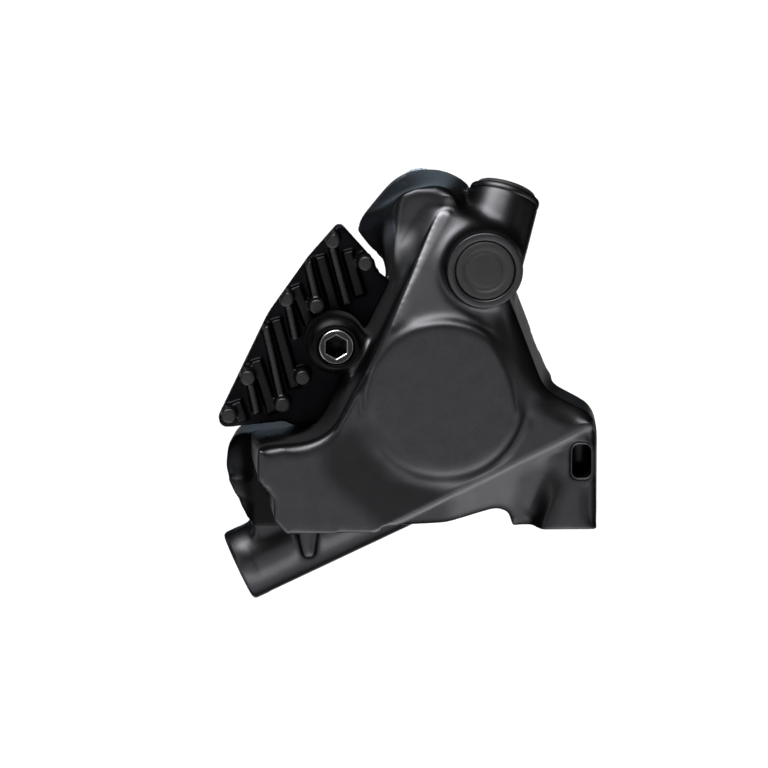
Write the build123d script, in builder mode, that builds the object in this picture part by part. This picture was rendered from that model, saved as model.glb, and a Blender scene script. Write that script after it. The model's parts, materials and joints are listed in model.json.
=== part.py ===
from build123d import *
import os
from math import cos, radians, sin, tan

# A rear disc brake caliper of the flat mount kind, cast in two halves that bolt together beside the disc.
# Frame: the origin lies between the two foot threads on the mounting face, +X runs from the hose end to the
# slotted foot, +Z points up out of the frame tube, and +Y points from the outer half through the disc to the
# inner half. "Outboard" is the half away from the wheel.

# Mounting
bolt_spacing = 34.0
foot_thread_radius = 2.5
left_thread_depth = 8.6
right_thread_depth = 11.5
foot_back = 6.0

# Overall height of the casting above the mounting face
casting_rise = 49.0

# Disc, which is not part of the caliper
disc_plane = 14.0
disc_thickness = 1.8
disc_radius = 70.0
disc_edge_room = 2.0
disc_channel = 5.0

# Pistons, and the place of their shared axis
piston_x = 0.4
piston_z = 19.3
piston_radius = 10.5
piston_length = 10.0
piston_wall = 2.6
piston_floor = 3.4
piston_edge = 0.4
piston_fit = 0.06
bore_end_room = 0.6
piston_inset = 11.0

# Piston seals
seal_width = 2.1
seal_height = 1.2
seal_room = 0.05
seal_fit = 0.03
seal_setback = 2.4

# Pads, measured along and out from the disc's edge
pad_tilt = 63.2
lining_gap = 0.3
lining_thickness = 2.0
lining_length = 20.6
lining_depth = 17.6
lining_corner = 3.2
lining_groove = 1.4
lining_groove_depth = 1.5
backplate_thickness = 1.8
backplate_side = 1.8
backplate_depth = 21.6
backplate_low = 9.8
backplate_corner = 1.6
tab_length = 17.0
tab_reach = 21.4
tab_corner = 2.4
pad_side_room = 0.3
pad_back_room = 1.0
pad_low_room = 0.6

# Pad axle
axle_out = 16.6
axle_along = -0.6
axle_thread_radius = 2.45
axle_thread_length = 6.0
axle_shank_radius = 1.75
axle_hex = 3.0
axle_hex_depth = 2.4
axle_hex_lead = 0.22
axle_recess = 0.3
axle_fit = 0.05
axle_play = 0.3
clip_groove_depth = 0.35
clip_thickness = 0.7
clip_width = 1.3
clip_gap_width = 1.6
clip_fit = 0.05
axle_tail = 0.9
axle_edge = 0.3

# Lugs that hold the axle
lug_radius = 4.4
lug_front_setback = 4.6
inner_lug_back = 31.0
lug_web = 6.0
lug_edge = 1.3

# Cooling fins
fin_thickness = 2.4
fin_room = 0.7
fin_side_room = 0.5
fin_span = 33.0
fin_reach = 26.4
fin_hole_wall = 1.95
fin_lug_room = 0.1
rib_width = 1.0
low_rib_width = 1.5
rib_height = 2.6
low_rib_height = 1.1
pin_radius = 1.1
pin_overhang = 0.3
pin_height = 4.2
inner_fin_set_in = 2.6

# Pad spring
spring_thickness = 0.4
spring_seat = 0.04
spring_leg_width = 1.2
spring_leg_low = 6.0
spring_bar_low = 10.6
spring_bar_high = 12.4
spring_tongue = 7.4
spring_hole_room = 0.5
spring_top = 20.4
spring_side_room = 0.1

# Front of the outer half
front_depth = -7.2
deck_depth = -6.8
deck_out = 12.5
deck_slope = 3.0
upper_slope = 21.2
upper_slope_start = 31.5
upper_slope_depth = -6.2
piston_boss_radius = 11.6
piston_boss_front = -7.5
piston_boss_edge = 0.5

# Crease below the piston boss, and the scoop under it
crease_x = -9.3
crease_angle = 25.9
crease_depth = -6.15
scoop_slope = 27.0

# Slotted foot
foot_front = -4.9
slot_width = 2.95
slot_height = 5.1
slot_corner = 1.1
slot_depth = 9.0
slot_x = 20.2
slot_z = 9.95

# Upper lobe
lobe_front = 0.0

# Valve boss and screw
valve_x = 6.26
valve_z = 38.1
valve_boss_radius = 5.4
valve_boss_front = -8.0
valve_boss_back = 6.0
valve_boss_edge = 0.25
valve_cap_radius = 4.2
valve_cap_fit = 0.1
valve_cap_face = 1.6
valve_cap_skirt = 1.0
valve_cap_skirt_wall = 0.8
valve_cap_dish_radius = 2.9
valve_cap_dish = 0.45
valve_head_radius = 2.6
valve_head_height = 1.9
valve_hex = 2.5
valve_hex_depth = 1.1
valve_hex_lead = 0.15
valve_edge = 0.2
valve_neck_length = 1.5
valve_stem_radius = 1.7
valve_stem_length = 3.0
valve_tip_length = 1.4
valve_fit = 0.05
valve_head_room = 0.35
valve_seal_room = 0.02
valve_port_y = 4.0

# Bleed tube, nipple and cap
bleed_x = 9.9
bleed_y = 7.5
bleed_z = 46.7
bleed_tilt = 18.1
bleed_lean = 24.0
bleed_tube_radius = 5.1
bleed_tube_length = 15.0
bleed_tube_draft = 1.5
bleed_tube_edge = 0.5
bleed_mouth_radius = 3.4
bleed_mouth_depth = 4.2
nipple_thread_radius = 2.2
nipple_thread_length = 2.6
nipple_flange_radius = 3.0
nipple_flange_height = 1.6
nipple_barb_radius = 1.5
nipple_barb_height = 2.2
nipple_bore_radius = 0.6
nipple_edge = 0.2
nipple_fit = 0.05
bleed_cap_radius = 4.3
bleed_cap_height = 0.4
bleed_cap_dome = 0.4
bleed_cap_skirt = 2.2
bleed_cap_wall = 0.9
bleed_cap_fit = 0.1

# Oil passages
passage_radius = 0.75
crossing_wall = 0.55
crossing_out = 15.8
crossing_run = 3.0
entry_reach = 9.5
entry_room = 0.3

# Passage seal at the joint of the halves
joint_seal_radius = 1.6
joint_seal_section = 0.45
joint_seal_room = 0.1

# Screws that clamp the halves
clamp_radius = 2.45
clamp_fit = 0.05
clamp_head_radius = 3.9
clamp_head_height = 4.6
clamp_hex = 4.0
clamp_hex_depth = 2.4
clamp_head_room = 0.3
clamp_head_edge = 0.4
clamp_play = 0.2
clamp_tip_room = 0.5
clamp_seat = 24.0
clamp_upper_beyond = 5.5
clamp_upper_out = 12.3
clamp_lower_x = -21.2
clamp_lower_z = 6.4
clamp_engage = 9.5

# Back of the inner half
inner_back = 29.5
inner_boss_radius = 12.4
inner_boss_back = 32.4
inner_boss_edge = 0.8
end_slope_start = 25.8
end_slope_width = 4.2
end_slope_run = 5.4
end_step_low = 1.3
end_step_high = 4.3
end_step_run = 2.6

# Hose tube
hose_x = -27.75
hose_y = 24.0
hose_z = -10.3
hose_angle = 25.2
hose_tube_radius = 5.25
hose_tube_length = 28.0
hose_tube_edge = 0.5
hose_thread_radius = 4.0
hose_thread_depth = 11.0
hose_seat_depth = 1.6
hose_passage_radius = 1.2
hose_passage_length = 16.0
gusset_room = 0.9
rib_web_front = 17.2

# Cuts run past the faces that they open by this much
overrun = 20.0

# Outlines, as shares of bolt_spacing and casting_rise. The corner shares are shares of corner_scale.
corner_scale = 10.0
outer_back_shares = (
    (-0.655, 0.000),
    (-0.708, 0.041),
    (-0.708, 0.104),
    (-0.776, 0.164),
    (-0.776, 0.235),
    (-0.535, 0.252),
    (-0.029, 0.959),
    (0.265, 0.929),
    (0.324, 0.686),
    (0.479, 0.404),
    (0.671, 0.331),
    (0.671, 0.000),
)
outer_back_corner_shares = (0, 0.10, 0.10, 0.12, 0.10, 0.60, 0.20, 0.30, 0.40, 0.50, 0.45, 0)
outer_front_shares = (
    (-0.648, 0.000),
    (-0.700, 0.041),
    (-0.700, 0.104),
    (-0.768, 0.164),
    (-0.768, 0.257),
    (-0.462, 0.272),
    (0.062, 0.984),
    (0.106, 0.888),
    (0.282, 0.682),
    (0.429, 0.408),
    (0.658, 0.327),
    (0.658, 0.000),
)
outer_front_corner_shares = (0, 0.10, 0.10, 0.12, 0.10, 0.75, 0.20, 0.30, 0.40, 0.50, 0.35, 0)
foot_back_shares = (
    (0.312, 0.000),
    (0.671, 0.000),
    (0.671, 0.265),
    (0.559, 0.249),
    (0.394, 0.163),
    (0.329, 0.061),
)
foot_front_shares = (
    (0.425, 0.000),
    (0.658, 0.000),
    (0.658, 0.273),
    (0.588, 0.273),
    (0.480, 0.200),
    (0.435, 0.085),
)
foot_corner_shares = (0, 0, 0.10, 0.10, 0.60, 0.10)
foot_space_shares = (
    (0.312, -0.020),
    (0.382, 0.204),
    (0.485, 0.400),
    (0.750, 0.400),
    (0.750, -0.020),
)
foot_space_corner_shares = (0, 0.10, 0.10, 0, 0)
underside_shares = (
    (-0.276, -0.041),
    (-0.247, 0.018),
    (0.029, 0.018),
    (0.235, 0.057),
    (0.294, 0.043),
    (0.321, -0.041),
)
underside_corner_shares = (0, 0.10, 0.60, 0.12, 0.14, 0)
lobe_back_shares = (
    (-0.222, 0.592),
    (-0.232, 0.700),
    (-0.353, 0.824),
    (0.086, 1.196),
    (0.292, 0.686),
)
lobe_back_corner_shares = (0, 0.20, 0.42, 0.84, 0.20)
lobe_front_shares = (
    (-0.150, 0.592),
    (-0.182, 0.745),
    (-0.182, 1.003),
    (0.052, 1.003),
    (0.212, 0.673),
)
lobe_front_corner_shares = (0, 0.20, 0.36, 0.38, 0.20)
inner_seam_shares = (
    (-0.782, -0.053),
    (-0.895, 0.100),
    (-0.878, 0.212),
    (-0.538, 0.250),
    (-0.029, 0.959),
    (0.235, 0.939),
    (0.329, 0.694),
    (0.447, 0.449),
    (0.406, 0.153),
    (0.118, -0.020),
    (-0.529, -0.053),
)
inner_seam_corner_shares = (0.12, 0.25, 0.32, 0.50, 0.20, 0.30, 0.40, 0.50, 0.60, 0.60, 0.20)
inner_back_shares = (
    (-0.765, -0.004),
    (-0.844, 0.105),
    (-0.820, 0.200),
    (-0.459, 0.240),
    (0.047, 0.918),
    (0.182, 0.890),
    (0.262, 0.684),
    (0.376, 0.449),
    (0.335, 0.184),
    (0.088, 0.033),
    (-0.515, -0.004),
)
inner_back_corner_shares = (0.12, 0.25, 0.30, 0.50, 0.20, 0.30, 0.40, 0.50, 0.60, 0.60, 0.20)
inner_lobe_shares = (
    (-0.165, 0.592),
    (-0.200, 0.708),
    (-0.312, 0.816),
    (0.059, 1.122),
    (0.247, 0.682),
)
inner_lobe_corner_shares = (0, 0.20, 0.40, 0.70, 0.20)
gusset_shares = (
    (-0.760, -0.010),
    (-0.575, -0.010),
    (-0.535, -0.123),
    (-0.760, -0.190),
)
rib_web_shares = (
    (-0.600, 0.000),
    (-0.470, 0.000),
    (-0.500, -0.165),
    (-0.548, -0.165),
)

# Fin outline, ribs and pins, as shares of fin_span along the pad and of fin_rise out from its inner edge
fin_outline_shares = (
    (-0.613, 0.971),
    (-0.446, 0.348),
    (-0.446, 0.246),
    (-0.370, -0.001),
    (0.300, -0.001),
    (0.318, 0.197),
    (0.352, 0.256),
    (0.438, 0.770),
    (0.242, 0.891),
    (-0.060, 1.000),
)
fin_corner_shares = (0.12, 0.10, 0.05, 0.05, 0.05, 0.03, 0.05, 0.08, 1.00, 1.50)
rib_shares = (
    ((0.370, 0.809), (0.140, 0.330)),
    ((0.242, 0.920), (0.091, 0.623)),
    ((0.074, 0.964), (-0.094, 0.646)),
    ((-0.100, 0.992), (-0.361, 0.485)),
    ((-0.300, 0.964), (-0.461, 0.652)),
)
low_rib_shares = (
    ((0.345, 0.573), (0.195, 0.246)),
    ((0.273, 0.799), (0.082, 0.388)),
    ((0.106, 0.893), (-0.014, 0.566)),
    ((-0.060, 0.914), (-0.292, 0.413)),
    ((-0.259, 0.906), (-0.429, 0.501)),
    ((-0.461, 0.893), (-0.522, 0.740)),
)
pin_shares = (
    (0.369, 0.782),
    (0.344, 0.371),
    (0.052, 0.937),
    (0.082, 0.619),
    (-0.331, 0.923),
    (-0.224, 0.411),
    (-0.370, 0.470),
    (-0.515, 0.918),
)

# Distances from the disc's middle plane, the same on both sides
lining_face = disc_thickness / 2 + lining_gap
lining_back = lining_face + lining_thickness
backplate_back = lining_back + backplate_thickness
fin_back = backplate_back + fin_thickness
mouth = backplate_back + pad_back_room
fin_pocket = fin_back + fin_room
bore_end = backplate_back + piston_length + bore_end_room
seal_near = mouth + seal_setback
lug_near = fin_back + low_rib_height + fin_room

# Radii and lengths that follow from the sizes above
bore_radius = piston_radius + piston_fit
groove_radius = bore_radius + seal_height
backplate_length = lining_length + 2 * backplate_side
cavity_length = backplate_length + 2 * pad_side_room
cavity_low = backplate_low + pad_low_room
disc_center_reach = disc_radius - piston_inset
disc_x = piston_x + disc_center_reach * sin(radians(pad_tilt))
disc_z = piston_z - disc_center_reach * cos(radians(pad_tilt))
disc_clear_radius = disc_radius + disc_edge_room
lug_front = front_depth + lug_front_setback
axle_front = lug_front + axle_recess
axle_thread_bore = axle_thread_radius + axle_fit
axle_shank_bore = axle_shank_radius + axle_fit
axle_hole_radius = axle_shank_radius + axle_play
valve_cap_bore = valve_cap_radius + valve_cap_fit
valve_cap_back = valve_boss_front + valve_cap_face + valve_cap_skirt
valve_neck_back = valve_cap_back + valve_head_height + valve_neck_length
valve_stem_back = valve_neck_back + valve_stem_length
valve_head_bore = valve_head_radius + valve_head_room
clamp_bore = clamp_radius + clamp_fit
joint_seal_bore = joint_seal_radius + joint_seal_section + joint_seal_room
nipple_floor = bleed_mouth_depth + nipple_thread_length
fin_low = axle_out - axle_hole_radius - fin_hole_wall
fin_rise = fin_reach - fin_low
crossing_along = cavity_length / 2 + crossing_wall + joint_seal_bore
clamp_upper_along = crossing_along + clamp_upper_beyond

os.makedirs("parts", exist_ok=True)

out_x = -sin(radians(pad_tilt))
out_z = cos(radians(pad_tilt))
along = Vector(cos(radians(pad_tilt)), 0, sin(radians(pad_tilt)))
outward = Vector(out_x, 0, out_z)
axle_x = piston_x + axle_along * along.X + axle_out * out_x
axle_z = piston_z + axle_along * along.Z + axle_out * out_z
crossing_x = piston_x + crossing_along * along.X + crossing_out * out_x
crossing_z = piston_z + crossing_along * along.Z + crossing_out * out_z
clamp_upper_x = piston_x + clamp_upper_along * along.X + clamp_upper_out * out_x
clamp_upper_z = piston_z + clamp_upper_along * along.Z + clamp_upper_out * out_z
clamp_spots = ((clamp_upper_x, clamp_upper_z), (clamp_lower_x, clamp_lower_z))
standing = (Align.CENTER, Align.CENTER, Align.MIN)
hanging = (Align.CENTER, Align.CENTER, Align.MAX)


def facing(depth):
    """Plane square to Y at a depth, looked at from outboard: x is +X, y is +Z and it faces -Y."""
    return Plane.XZ.offset(-depth)


def pad_plane(depth):
    """Plane square to Y on the piston axis, with x along the pad and y out from the disc's centre."""
    return Plane(origin=(piston_x, depth, piston_z), x_dir=along, z_dir=(0, -1, 0))


def square_on(x, z, depth, side=-1):
    """Plane square to Y at a place, facing outboard (-1) or inboard (1)."""
    return Plane(origin=(x, depth, z), x_dir=(1, 0, 0), z_dir=(0, side, 0))


def beside(distance, side):
    """Depth of a place at a distance from the disc's plane, on side -1 (outboard) or 1 (inboard)."""
    return disc_plane + side * distance


def spots(shares):
    """Outline points from shares of the bolt spacing and the casting's rise."""
    return [(x * bolt_spacing, z * casting_rise) for x, z in shares]


def fin_spots(shares):
    """Places on the fin from shares of its span along the pad and of its rise from the inner edge."""
    return [(x * fin_span, fin_low + y * fin_rise) for x, y in shares]


def rounded(points, corners, room=0, mode=Mode.ADD):
    """Closed face through points, each corner rounded by its own share of corner_scale, grown by a room."""
    with BuildLine() as edge:
        FilletPolyline(*points, radius=[share * corner_scale for share in corners], close=True)
        if room:
            offset(amount=room, mode=Mode.REPLACE)
    make_face(edge.edges(), mode=mode)


def fin_face(room=0, set_in=0, mode=Mode.ADD):
    """The fin's outline, grown by a side room, or moved in along the pad and towards the disc."""
    points = [(x - set_in, y - set_in) for x, y in fin_spots(fin_outline_shares)]
    rounded(points, fin_corner_shares, room, mode)


def boss(plane, radius, length, edge=0, root=None):
    """Add a round length that rises from a plane, with a chamfered end and a root radius of its own."""
    with Locations(plane):
        if root:
            Cone(root, radius, length - edge, align=standing)
        else:
            Cylinder(radius, length - edge, align=standing)
    if edge:
        with Locations(plane.offset(length - edge)):
            Cone(radius, radius - edge, edge, align=standing)


def sink(plane, radius, depth):
    """Cut a round hole against a plane's normal."""
    with Locations(plane):
        Cylinder(radius, depth, align=hanging, mode=Mode.SUBTRACT)


def drill(start, end, radius):
    """Cut a straight round passage between two points of the part being built."""
    run = Vector(*end) - Vector(*start)
    with BuildSketch(Plane(origin=start, z_dir=run)) as section:
        Circle(radius)
    extrude(section.sketch, amount=run.length, mode=Mode.SUBTRACT)


def hex_socket(plane, across, depth, lead):
    """Cut a hexagon socket with a round lead-in."""
    with BuildSketch(plane) as hexagon:
        RegularPolygon(across / 2, 6, major_radius=False)
    extrude(hexagon.sketch, amount=-depth, mode=Mode.SUBTRACT)
    with Locations(plane):
        Cone(across / 2, across / 2 + 2 * lead, 2 * lead, align=hanging, mode=Mode.SUBTRACT)


def cut_piston_side(side):
    """Cut the pad cavity, fin pocket, piston bore, seal groove, disc channel and oil passage of one half."""
    with BuildSketch(pad_plane(disc_plane)) as cavity:
        with Locations((0, (overrun - cavity_low) / 2)):
            RectangleRounded(cavity_length, overrun + cavity_low, backplate_corner)
    extrude(cavity.sketch, amount=-side * mouth, mode=Mode.SUBTRACT)
    with BuildSketch(pad_plane(disc_plane)) as pocket:
        fin_face(room=fin_side_room)
    extrude(pocket.sketch, amount=-side * fin_pocket, mode=Mode.SUBTRACT)
    sink(square_on(piston_x, piston_z, disc_plane, -side), bore_radius, bore_end)
    seal_plane = square_on(piston_x, piston_z, beside(seal_near, side), -side)
    sink(seal_plane, groove_radius, seal_width + 2 * seal_room)
    sink(square_on(disc_x, disc_z, disc_plane, -side), disc_clear_radius, disc_channel / 2)
    crossing = (crossing_x, beside(crossing_run, side), crossing_z)
    drill((crossing_x, disc_plane, crossing_z), crossing, passage_radius)
    drill(crossing, (piston_x, beside(bore_end + entry_room, side), piston_z + entry_reach), passage_radius)


def add_lug(far, side):
    """Add the round lug of the pad axle, from the fin's room to its far face, and the web to the casting."""
    near = beside(lug_near, side)
    boss(square_on(axle_x, axle_z, near, side), lug_radius, abs(far - near), lug_edge)
    with BuildSketch(pad_plane(near)) as web:
        with Locations((axle_along, (axle_out + piston_radius) / 2)):
            Rectangle(lug_web, axle_out - piston_radius)
    extrude(web.sketch, amount=-side * (abs(far - near) - lug_edge))


# Outer half of the casting, with both feet, the piston chamber, the valve boss and the bleed tube
deck_rise = tan(radians(deck_slope))
deck_plane = Plane(
    origin=Vector(piston_x, deck_depth, piston_z) + deck_out * outward,
    x_dir=along,
    z_dir=Vector(-deck_rise * out_x, -1, -deck_rise * out_z),
)
upper_plane = Plane(
    origin=(0, upper_slope_depth, upper_slope_start),
    x_dir=(1, 0, 0),
    z_dir=(0, -1, tan(radians(upper_slope))),
)
crease_run = Vector(cos(radians(crease_angle)), 0, sin(radians(crease_angle)))
crease_along = crease_run + Vector(0, -deck_rise * crease_run.dot(outward), 0)
scoop_down = Vector(crease_run.Z, tan(radians(scoop_slope)), -crease_run.X)
scoop_plane = Plane(
    origin=(crease_x, crease_depth, 0),
    x_dir=crease_along,
    z_dir=scoop_down.cross(crease_along),
)
bleed_rise = cos(radians(bleed_lean))
bleed_axis = Vector(
    sin(radians(bleed_tilt)) * bleed_rise,
    sin(radians(bleed_lean)),
    cos(radians(bleed_tilt)) * bleed_rise,
)
bleed_plane = Plane(origin=(bleed_x, bleed_y, bleed_z), z_dir=bleed_axis)

with BuildPart() as outboard_body:
    with BuildSketch(facing(beside(mouth, -1))):
        rounded(spots(outer_back_shares), outer_back_corner_shares)
    with BuildSketch(facing(front_depth)):
        rounded(spots(outer_front_shares), outer_front_corner_shares)
    loft(ruled=True)
    with BuildSketch(facing(disc_plane)):
        rounded(spots(outer_back_shares), outer_back_corner_shares)
    extrude(amount=mouth)
    for plane in (deck_plane, upper_plane, scoop_plane):
        with BuildSketch(plane):
            Rectangle(casting_rise * 4, casting_rise * 4)
        extrude(amount=overrun, mode=Mode.SUBTRACT)
    # Slotted foot, put back in front of the scoop
    with BuildSketch(facing(foot_back)):
        rounded(spots(foot_back_shares), foot_corner_shares)
    with BuildSketch(facing(foot_front)):
        rounded(spots(foot_front_shares), foot_corner_shares)
    loft(ruled=True)
    # Upper lobe
    with BuildSketch(facing(disc_plane)):
        rounded(spots(lobe_back_shares), lobe_back_corner_shares)
    with BuildSketch(facing(lobe_front)):
        rounded(spots(lobe_front_shares), lobe_front_corner_shares)
    loft(ruled=True)
    # Piston boss, valve boss, bleed tube and lug
    boss(
        square_on(piston_x, piston_z, beside(bore_end, -1)),
        piston_boss_radius,
        beside(bore_end, -1) - piston_boss_front,
        piston_boss_edge,
    )
    boss(
        square_on(valve_x, valve_z, valve_boss_back),
        valve_boss_radius,
        valve_boss_back - valve_boss_front,
        valve_boss_edge,
    )
    boss(
        bleed_plane.offset(-bleed_tube_length),
        bleed_tube_radius,
        bleed_tube_length,
        bleed_tube_edge,
        bleed_tube_radius + bleed_tube_length * tan(radians(bleed_tube_draft)),
    )
    add_lug(lug_front, -1)
    # Hollow of the underside between the feet, and the space behind the slotted foot
    with BuildSketch(facing(disc_plane)):
        rounded(spots(underside_shares), underside_corner_shares)
    extrude(amount=disc_plane + overrun, mode=Mode.SUBTRACT)
    with BuildSketch(facing(foot_back)):
        rounded(spots(foot_space_shares), foot_space_corner_shares)
    extrude(amount=-overrun, mode=Mode.SUBTRACT)
    cut_piston_side(-1)
    # Foot threads, and the slot that opens the right one
    for x, depth in ((-bolt_spacing / 2, left_thread_depth), (bolt_spacing / 2, right_thread_depth)):
        sink(Plane(origin=(x, 0, 0), z_dir=(0, 0, -1)), foot_thread_radius, depth)
    with BuildSketch(facing(foot_front + slot_depth)):
        with Locations((slot_x, slot_z)):
            RectangleRounded(slot_width, slot_height, slot_corner)
    extrude(amount=slot_depth + overrun, mode=Mode.SUBTRACT)
    # Thread of the pad axle
    sink(square_on(axle_x, axle_z, lug_front), axle_thread_bore, beside(fin_back, -1) - lug_front)
    # Valve chamber with its conical seat
    sink(square_on(valve_x, valve_z, valve_boss_front), valve_cap_bore, valve_cap_back - valve_boss_front)
    sink(square_on(valve_x, valve_z, valve_cap_back), valve_head_bore, valve_head_height + valve_neck_length)
    sink(square_on(valve_x, valve_z, valve_neck_back), valve_stem_radius + valve_fit, valve_stem_length)
    valve_bore = valve_stem_radius + valve_fit
    with Locations(square_on(valve_x, valve_z, valve_stem_back)):
        Cone(passage_radius, valve_bore, valve_tip_length, align=hanging, mode=Mode.SUBTRACT)
    # Bleed mouth, nipple thread, and passages from the bleed tube through the valve to the chamber
    sink(bleed_plane, bleed_mouth_radius, bleed_mouth_depth)
    sink(bleed_plane, nipple_thread_radius + nipple_fit, nipple_floor)
    valve_port = (valve_x, valve_port_y, valve_z)
    drill(bleed_plane.origin - bleed_axis * nipple_floor, valve_port, passage_radius)
    drill((valve_x, valve_stem_back, valve_z), valve_port, passage_radius)
    drill(valve_port, (piston_x, beside(bore_end + entry_room, -1), piston_z + entry_reach), passage_radius)
    # Threads for the clamp screws
    for x, z in clamp_spots:
        sink(square_on(x, z, disc_plane, 1), clamp_bore, clamp_engage)
outboard_body.part.label = "outboard_body"
export_step(outboard_body.part, "parts/outboard_body.step")

# Inner half of the casting, with the hose tube and the far lug
hose_axis = Vector(-cos(radians(hose_angle)), 0, -sin(radians(hose_angle)))
hose_plane = Plane(origin=(hose_x, hose_y, hose_z), x_dir=(0, 1, 0), z_dir=hose_axis)
hose_passage_end = hose_plane.origin - hose_axis * (hose_thread_depth + hose_passage_length)
end_slope_left = -end_slope_start - end_slope_width

with BuildPart() as inboard_body:
    with BuildSketch(facing(disc_plane)):
        rounded(spots(inner_seam_shares), inner_seam_corner_shares)
    with BuildSketch(facing(inner_back)):
        rounded(spots(inner_back_shares), inner_back_corner_shares)
    loft(ruled=True)
    # Slope of the left end, and the shallower step across it
    for low, high, run in (
        (-casting_rise, end_step_low, end_slope_run),
        (end_step_low, end_step_high, end_step_run),
        (end_step_high, casting_rise, end_slope_run),
    ):
        with BuildSketch(Plane.XY.offset(low)):
            Polygon(
                (-end_slope_start, -overrun),
                (-end_slope_start, disc_plane),
                (end_slope_left, disc_plane + run),
                (end_slope_left - overrun, disc_plane + run),
                (end_slope_left - overrun, -overrun),
                align=None,
            )
        extrude(amount=high - low, mode=Mode.SUBTRACT)
    # Upper lobe, whose back is the seat of the upper clamp screw
    with BuildSketch(facing(disc_plane)):
        rounded(spots(lobe_back_shares), lobe_back_corner_shares)
    with BuildSketch(facing(clamp_seat)):
        rounded(spots(inner_lobe_shares), inner_lobe_corner_shares)
    loft(ruled=True)
    # Piston boss, lug and hose tube
    boss(
        square_on(piston_x, piston_z, beside(mouth, 1), 1),
        inner_boss_radius,
        inner_boss_back - beside(mouth, 1),
        inner_boss_edge,
    )
    add_lug(inner_lug_back, 1)
    boss(hose_plane.offset(-hose_tube_length), hose_tube_radius, hose_tube_length, hose_tube_edge)
    web_back = hose_y + hose_tube_radius - gusset_room
    for shares, run in (
        (gusset_shares, 2 * (hose_tube_radius - gusset_room)),
        (rib_web_shares, web_back - rib_web_front),
    ):
        with BuildSketch(facing(web_back)):
            Polygon(*spots(shares), align=None)
        extrude(amount=run)
    cut_piston_side(1)
    sink(square_on(axle_x, axle_z, inner_lug_back, 1), axle_shank_bore, inner_lug_back - beside(fin_back, 1))
    # Clamp screws: clearance holes and head seats
    for x, z in clamp_spots:
        sink(square_on(x, z, clamp_seat, 1), clamp_radius + clamp_play, clamp_seat - disc_plane)
        sink(square_on(x, z, clamp_seat + overrun, 1), clamp_head_radius + clamp_head_room, overrun)
    # Seat of the passage seal
    sink(square_on(crossing_x, crossing_z, disc_plane), joint_seal_bore, 2 * joint_seal_section)
    # Hose port, its cone, and the passage to the chamber
    sink(hose_plane, hose_thread_radius, hose_thread_depth)
    with Locations(hose_plane.offset(-hose_thread_depth)):
        Cone(hose_passage_radius, hose_thread_radius, hose_seat_depth, align=hanging, mode=Mode.SUBTRACT)
    drill(hose_plane.origin - hose_axis * hose_thread_depth, hose_passage_end, hose_passage_radius)
    drill(
        hose_passage_end,
        (piston_x, beside(bore_end + entry_room, 1), piston_z - entry_reach),
        passage_radius,
    )
inboard_body.part.label = "inboard_body"
export_step(inboard_body.part, "parts/inboard_body.step")

# Clamp screws, put in from the inboard side
with BuildPart() as body_bolts:
    for x, z in clamp_spots:
        boss(square_on(x, z, clamp_seat, 1), clamp_head_radius, clamp_head_height, clamp_head_edge)
        boss(
            square_on(x, z, clamp_seat, -1),
            clamp_radius,
            clamp_seat - disc_plane + clamp_engage - clamp_tip_room,
            clamp_head_edge,
        )
        head_top = square_on(x, z, clamp_seat + clamp_head_height, 1)
        hex_socket(head_top, clamp_hex, clamp_hex_depth, axle_hex_lead)
body_bolts.part.label = "body_bolts"
export_step(body_bolts.part, "parts/body_bolts.step")

# O-ring where the passage crosses the joint of the halves
with BuildPart() as passage_seal:
    with Locations(square_on(crossing_x, crossing_z, disc_plane + joint_seal_section)):
        Torus(joint_seal_radius, joint_seal_section)
passage_seal.part.label = "passage_seal"
export_step(passage_seal.part, "parts/passage_seal.step")

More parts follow.
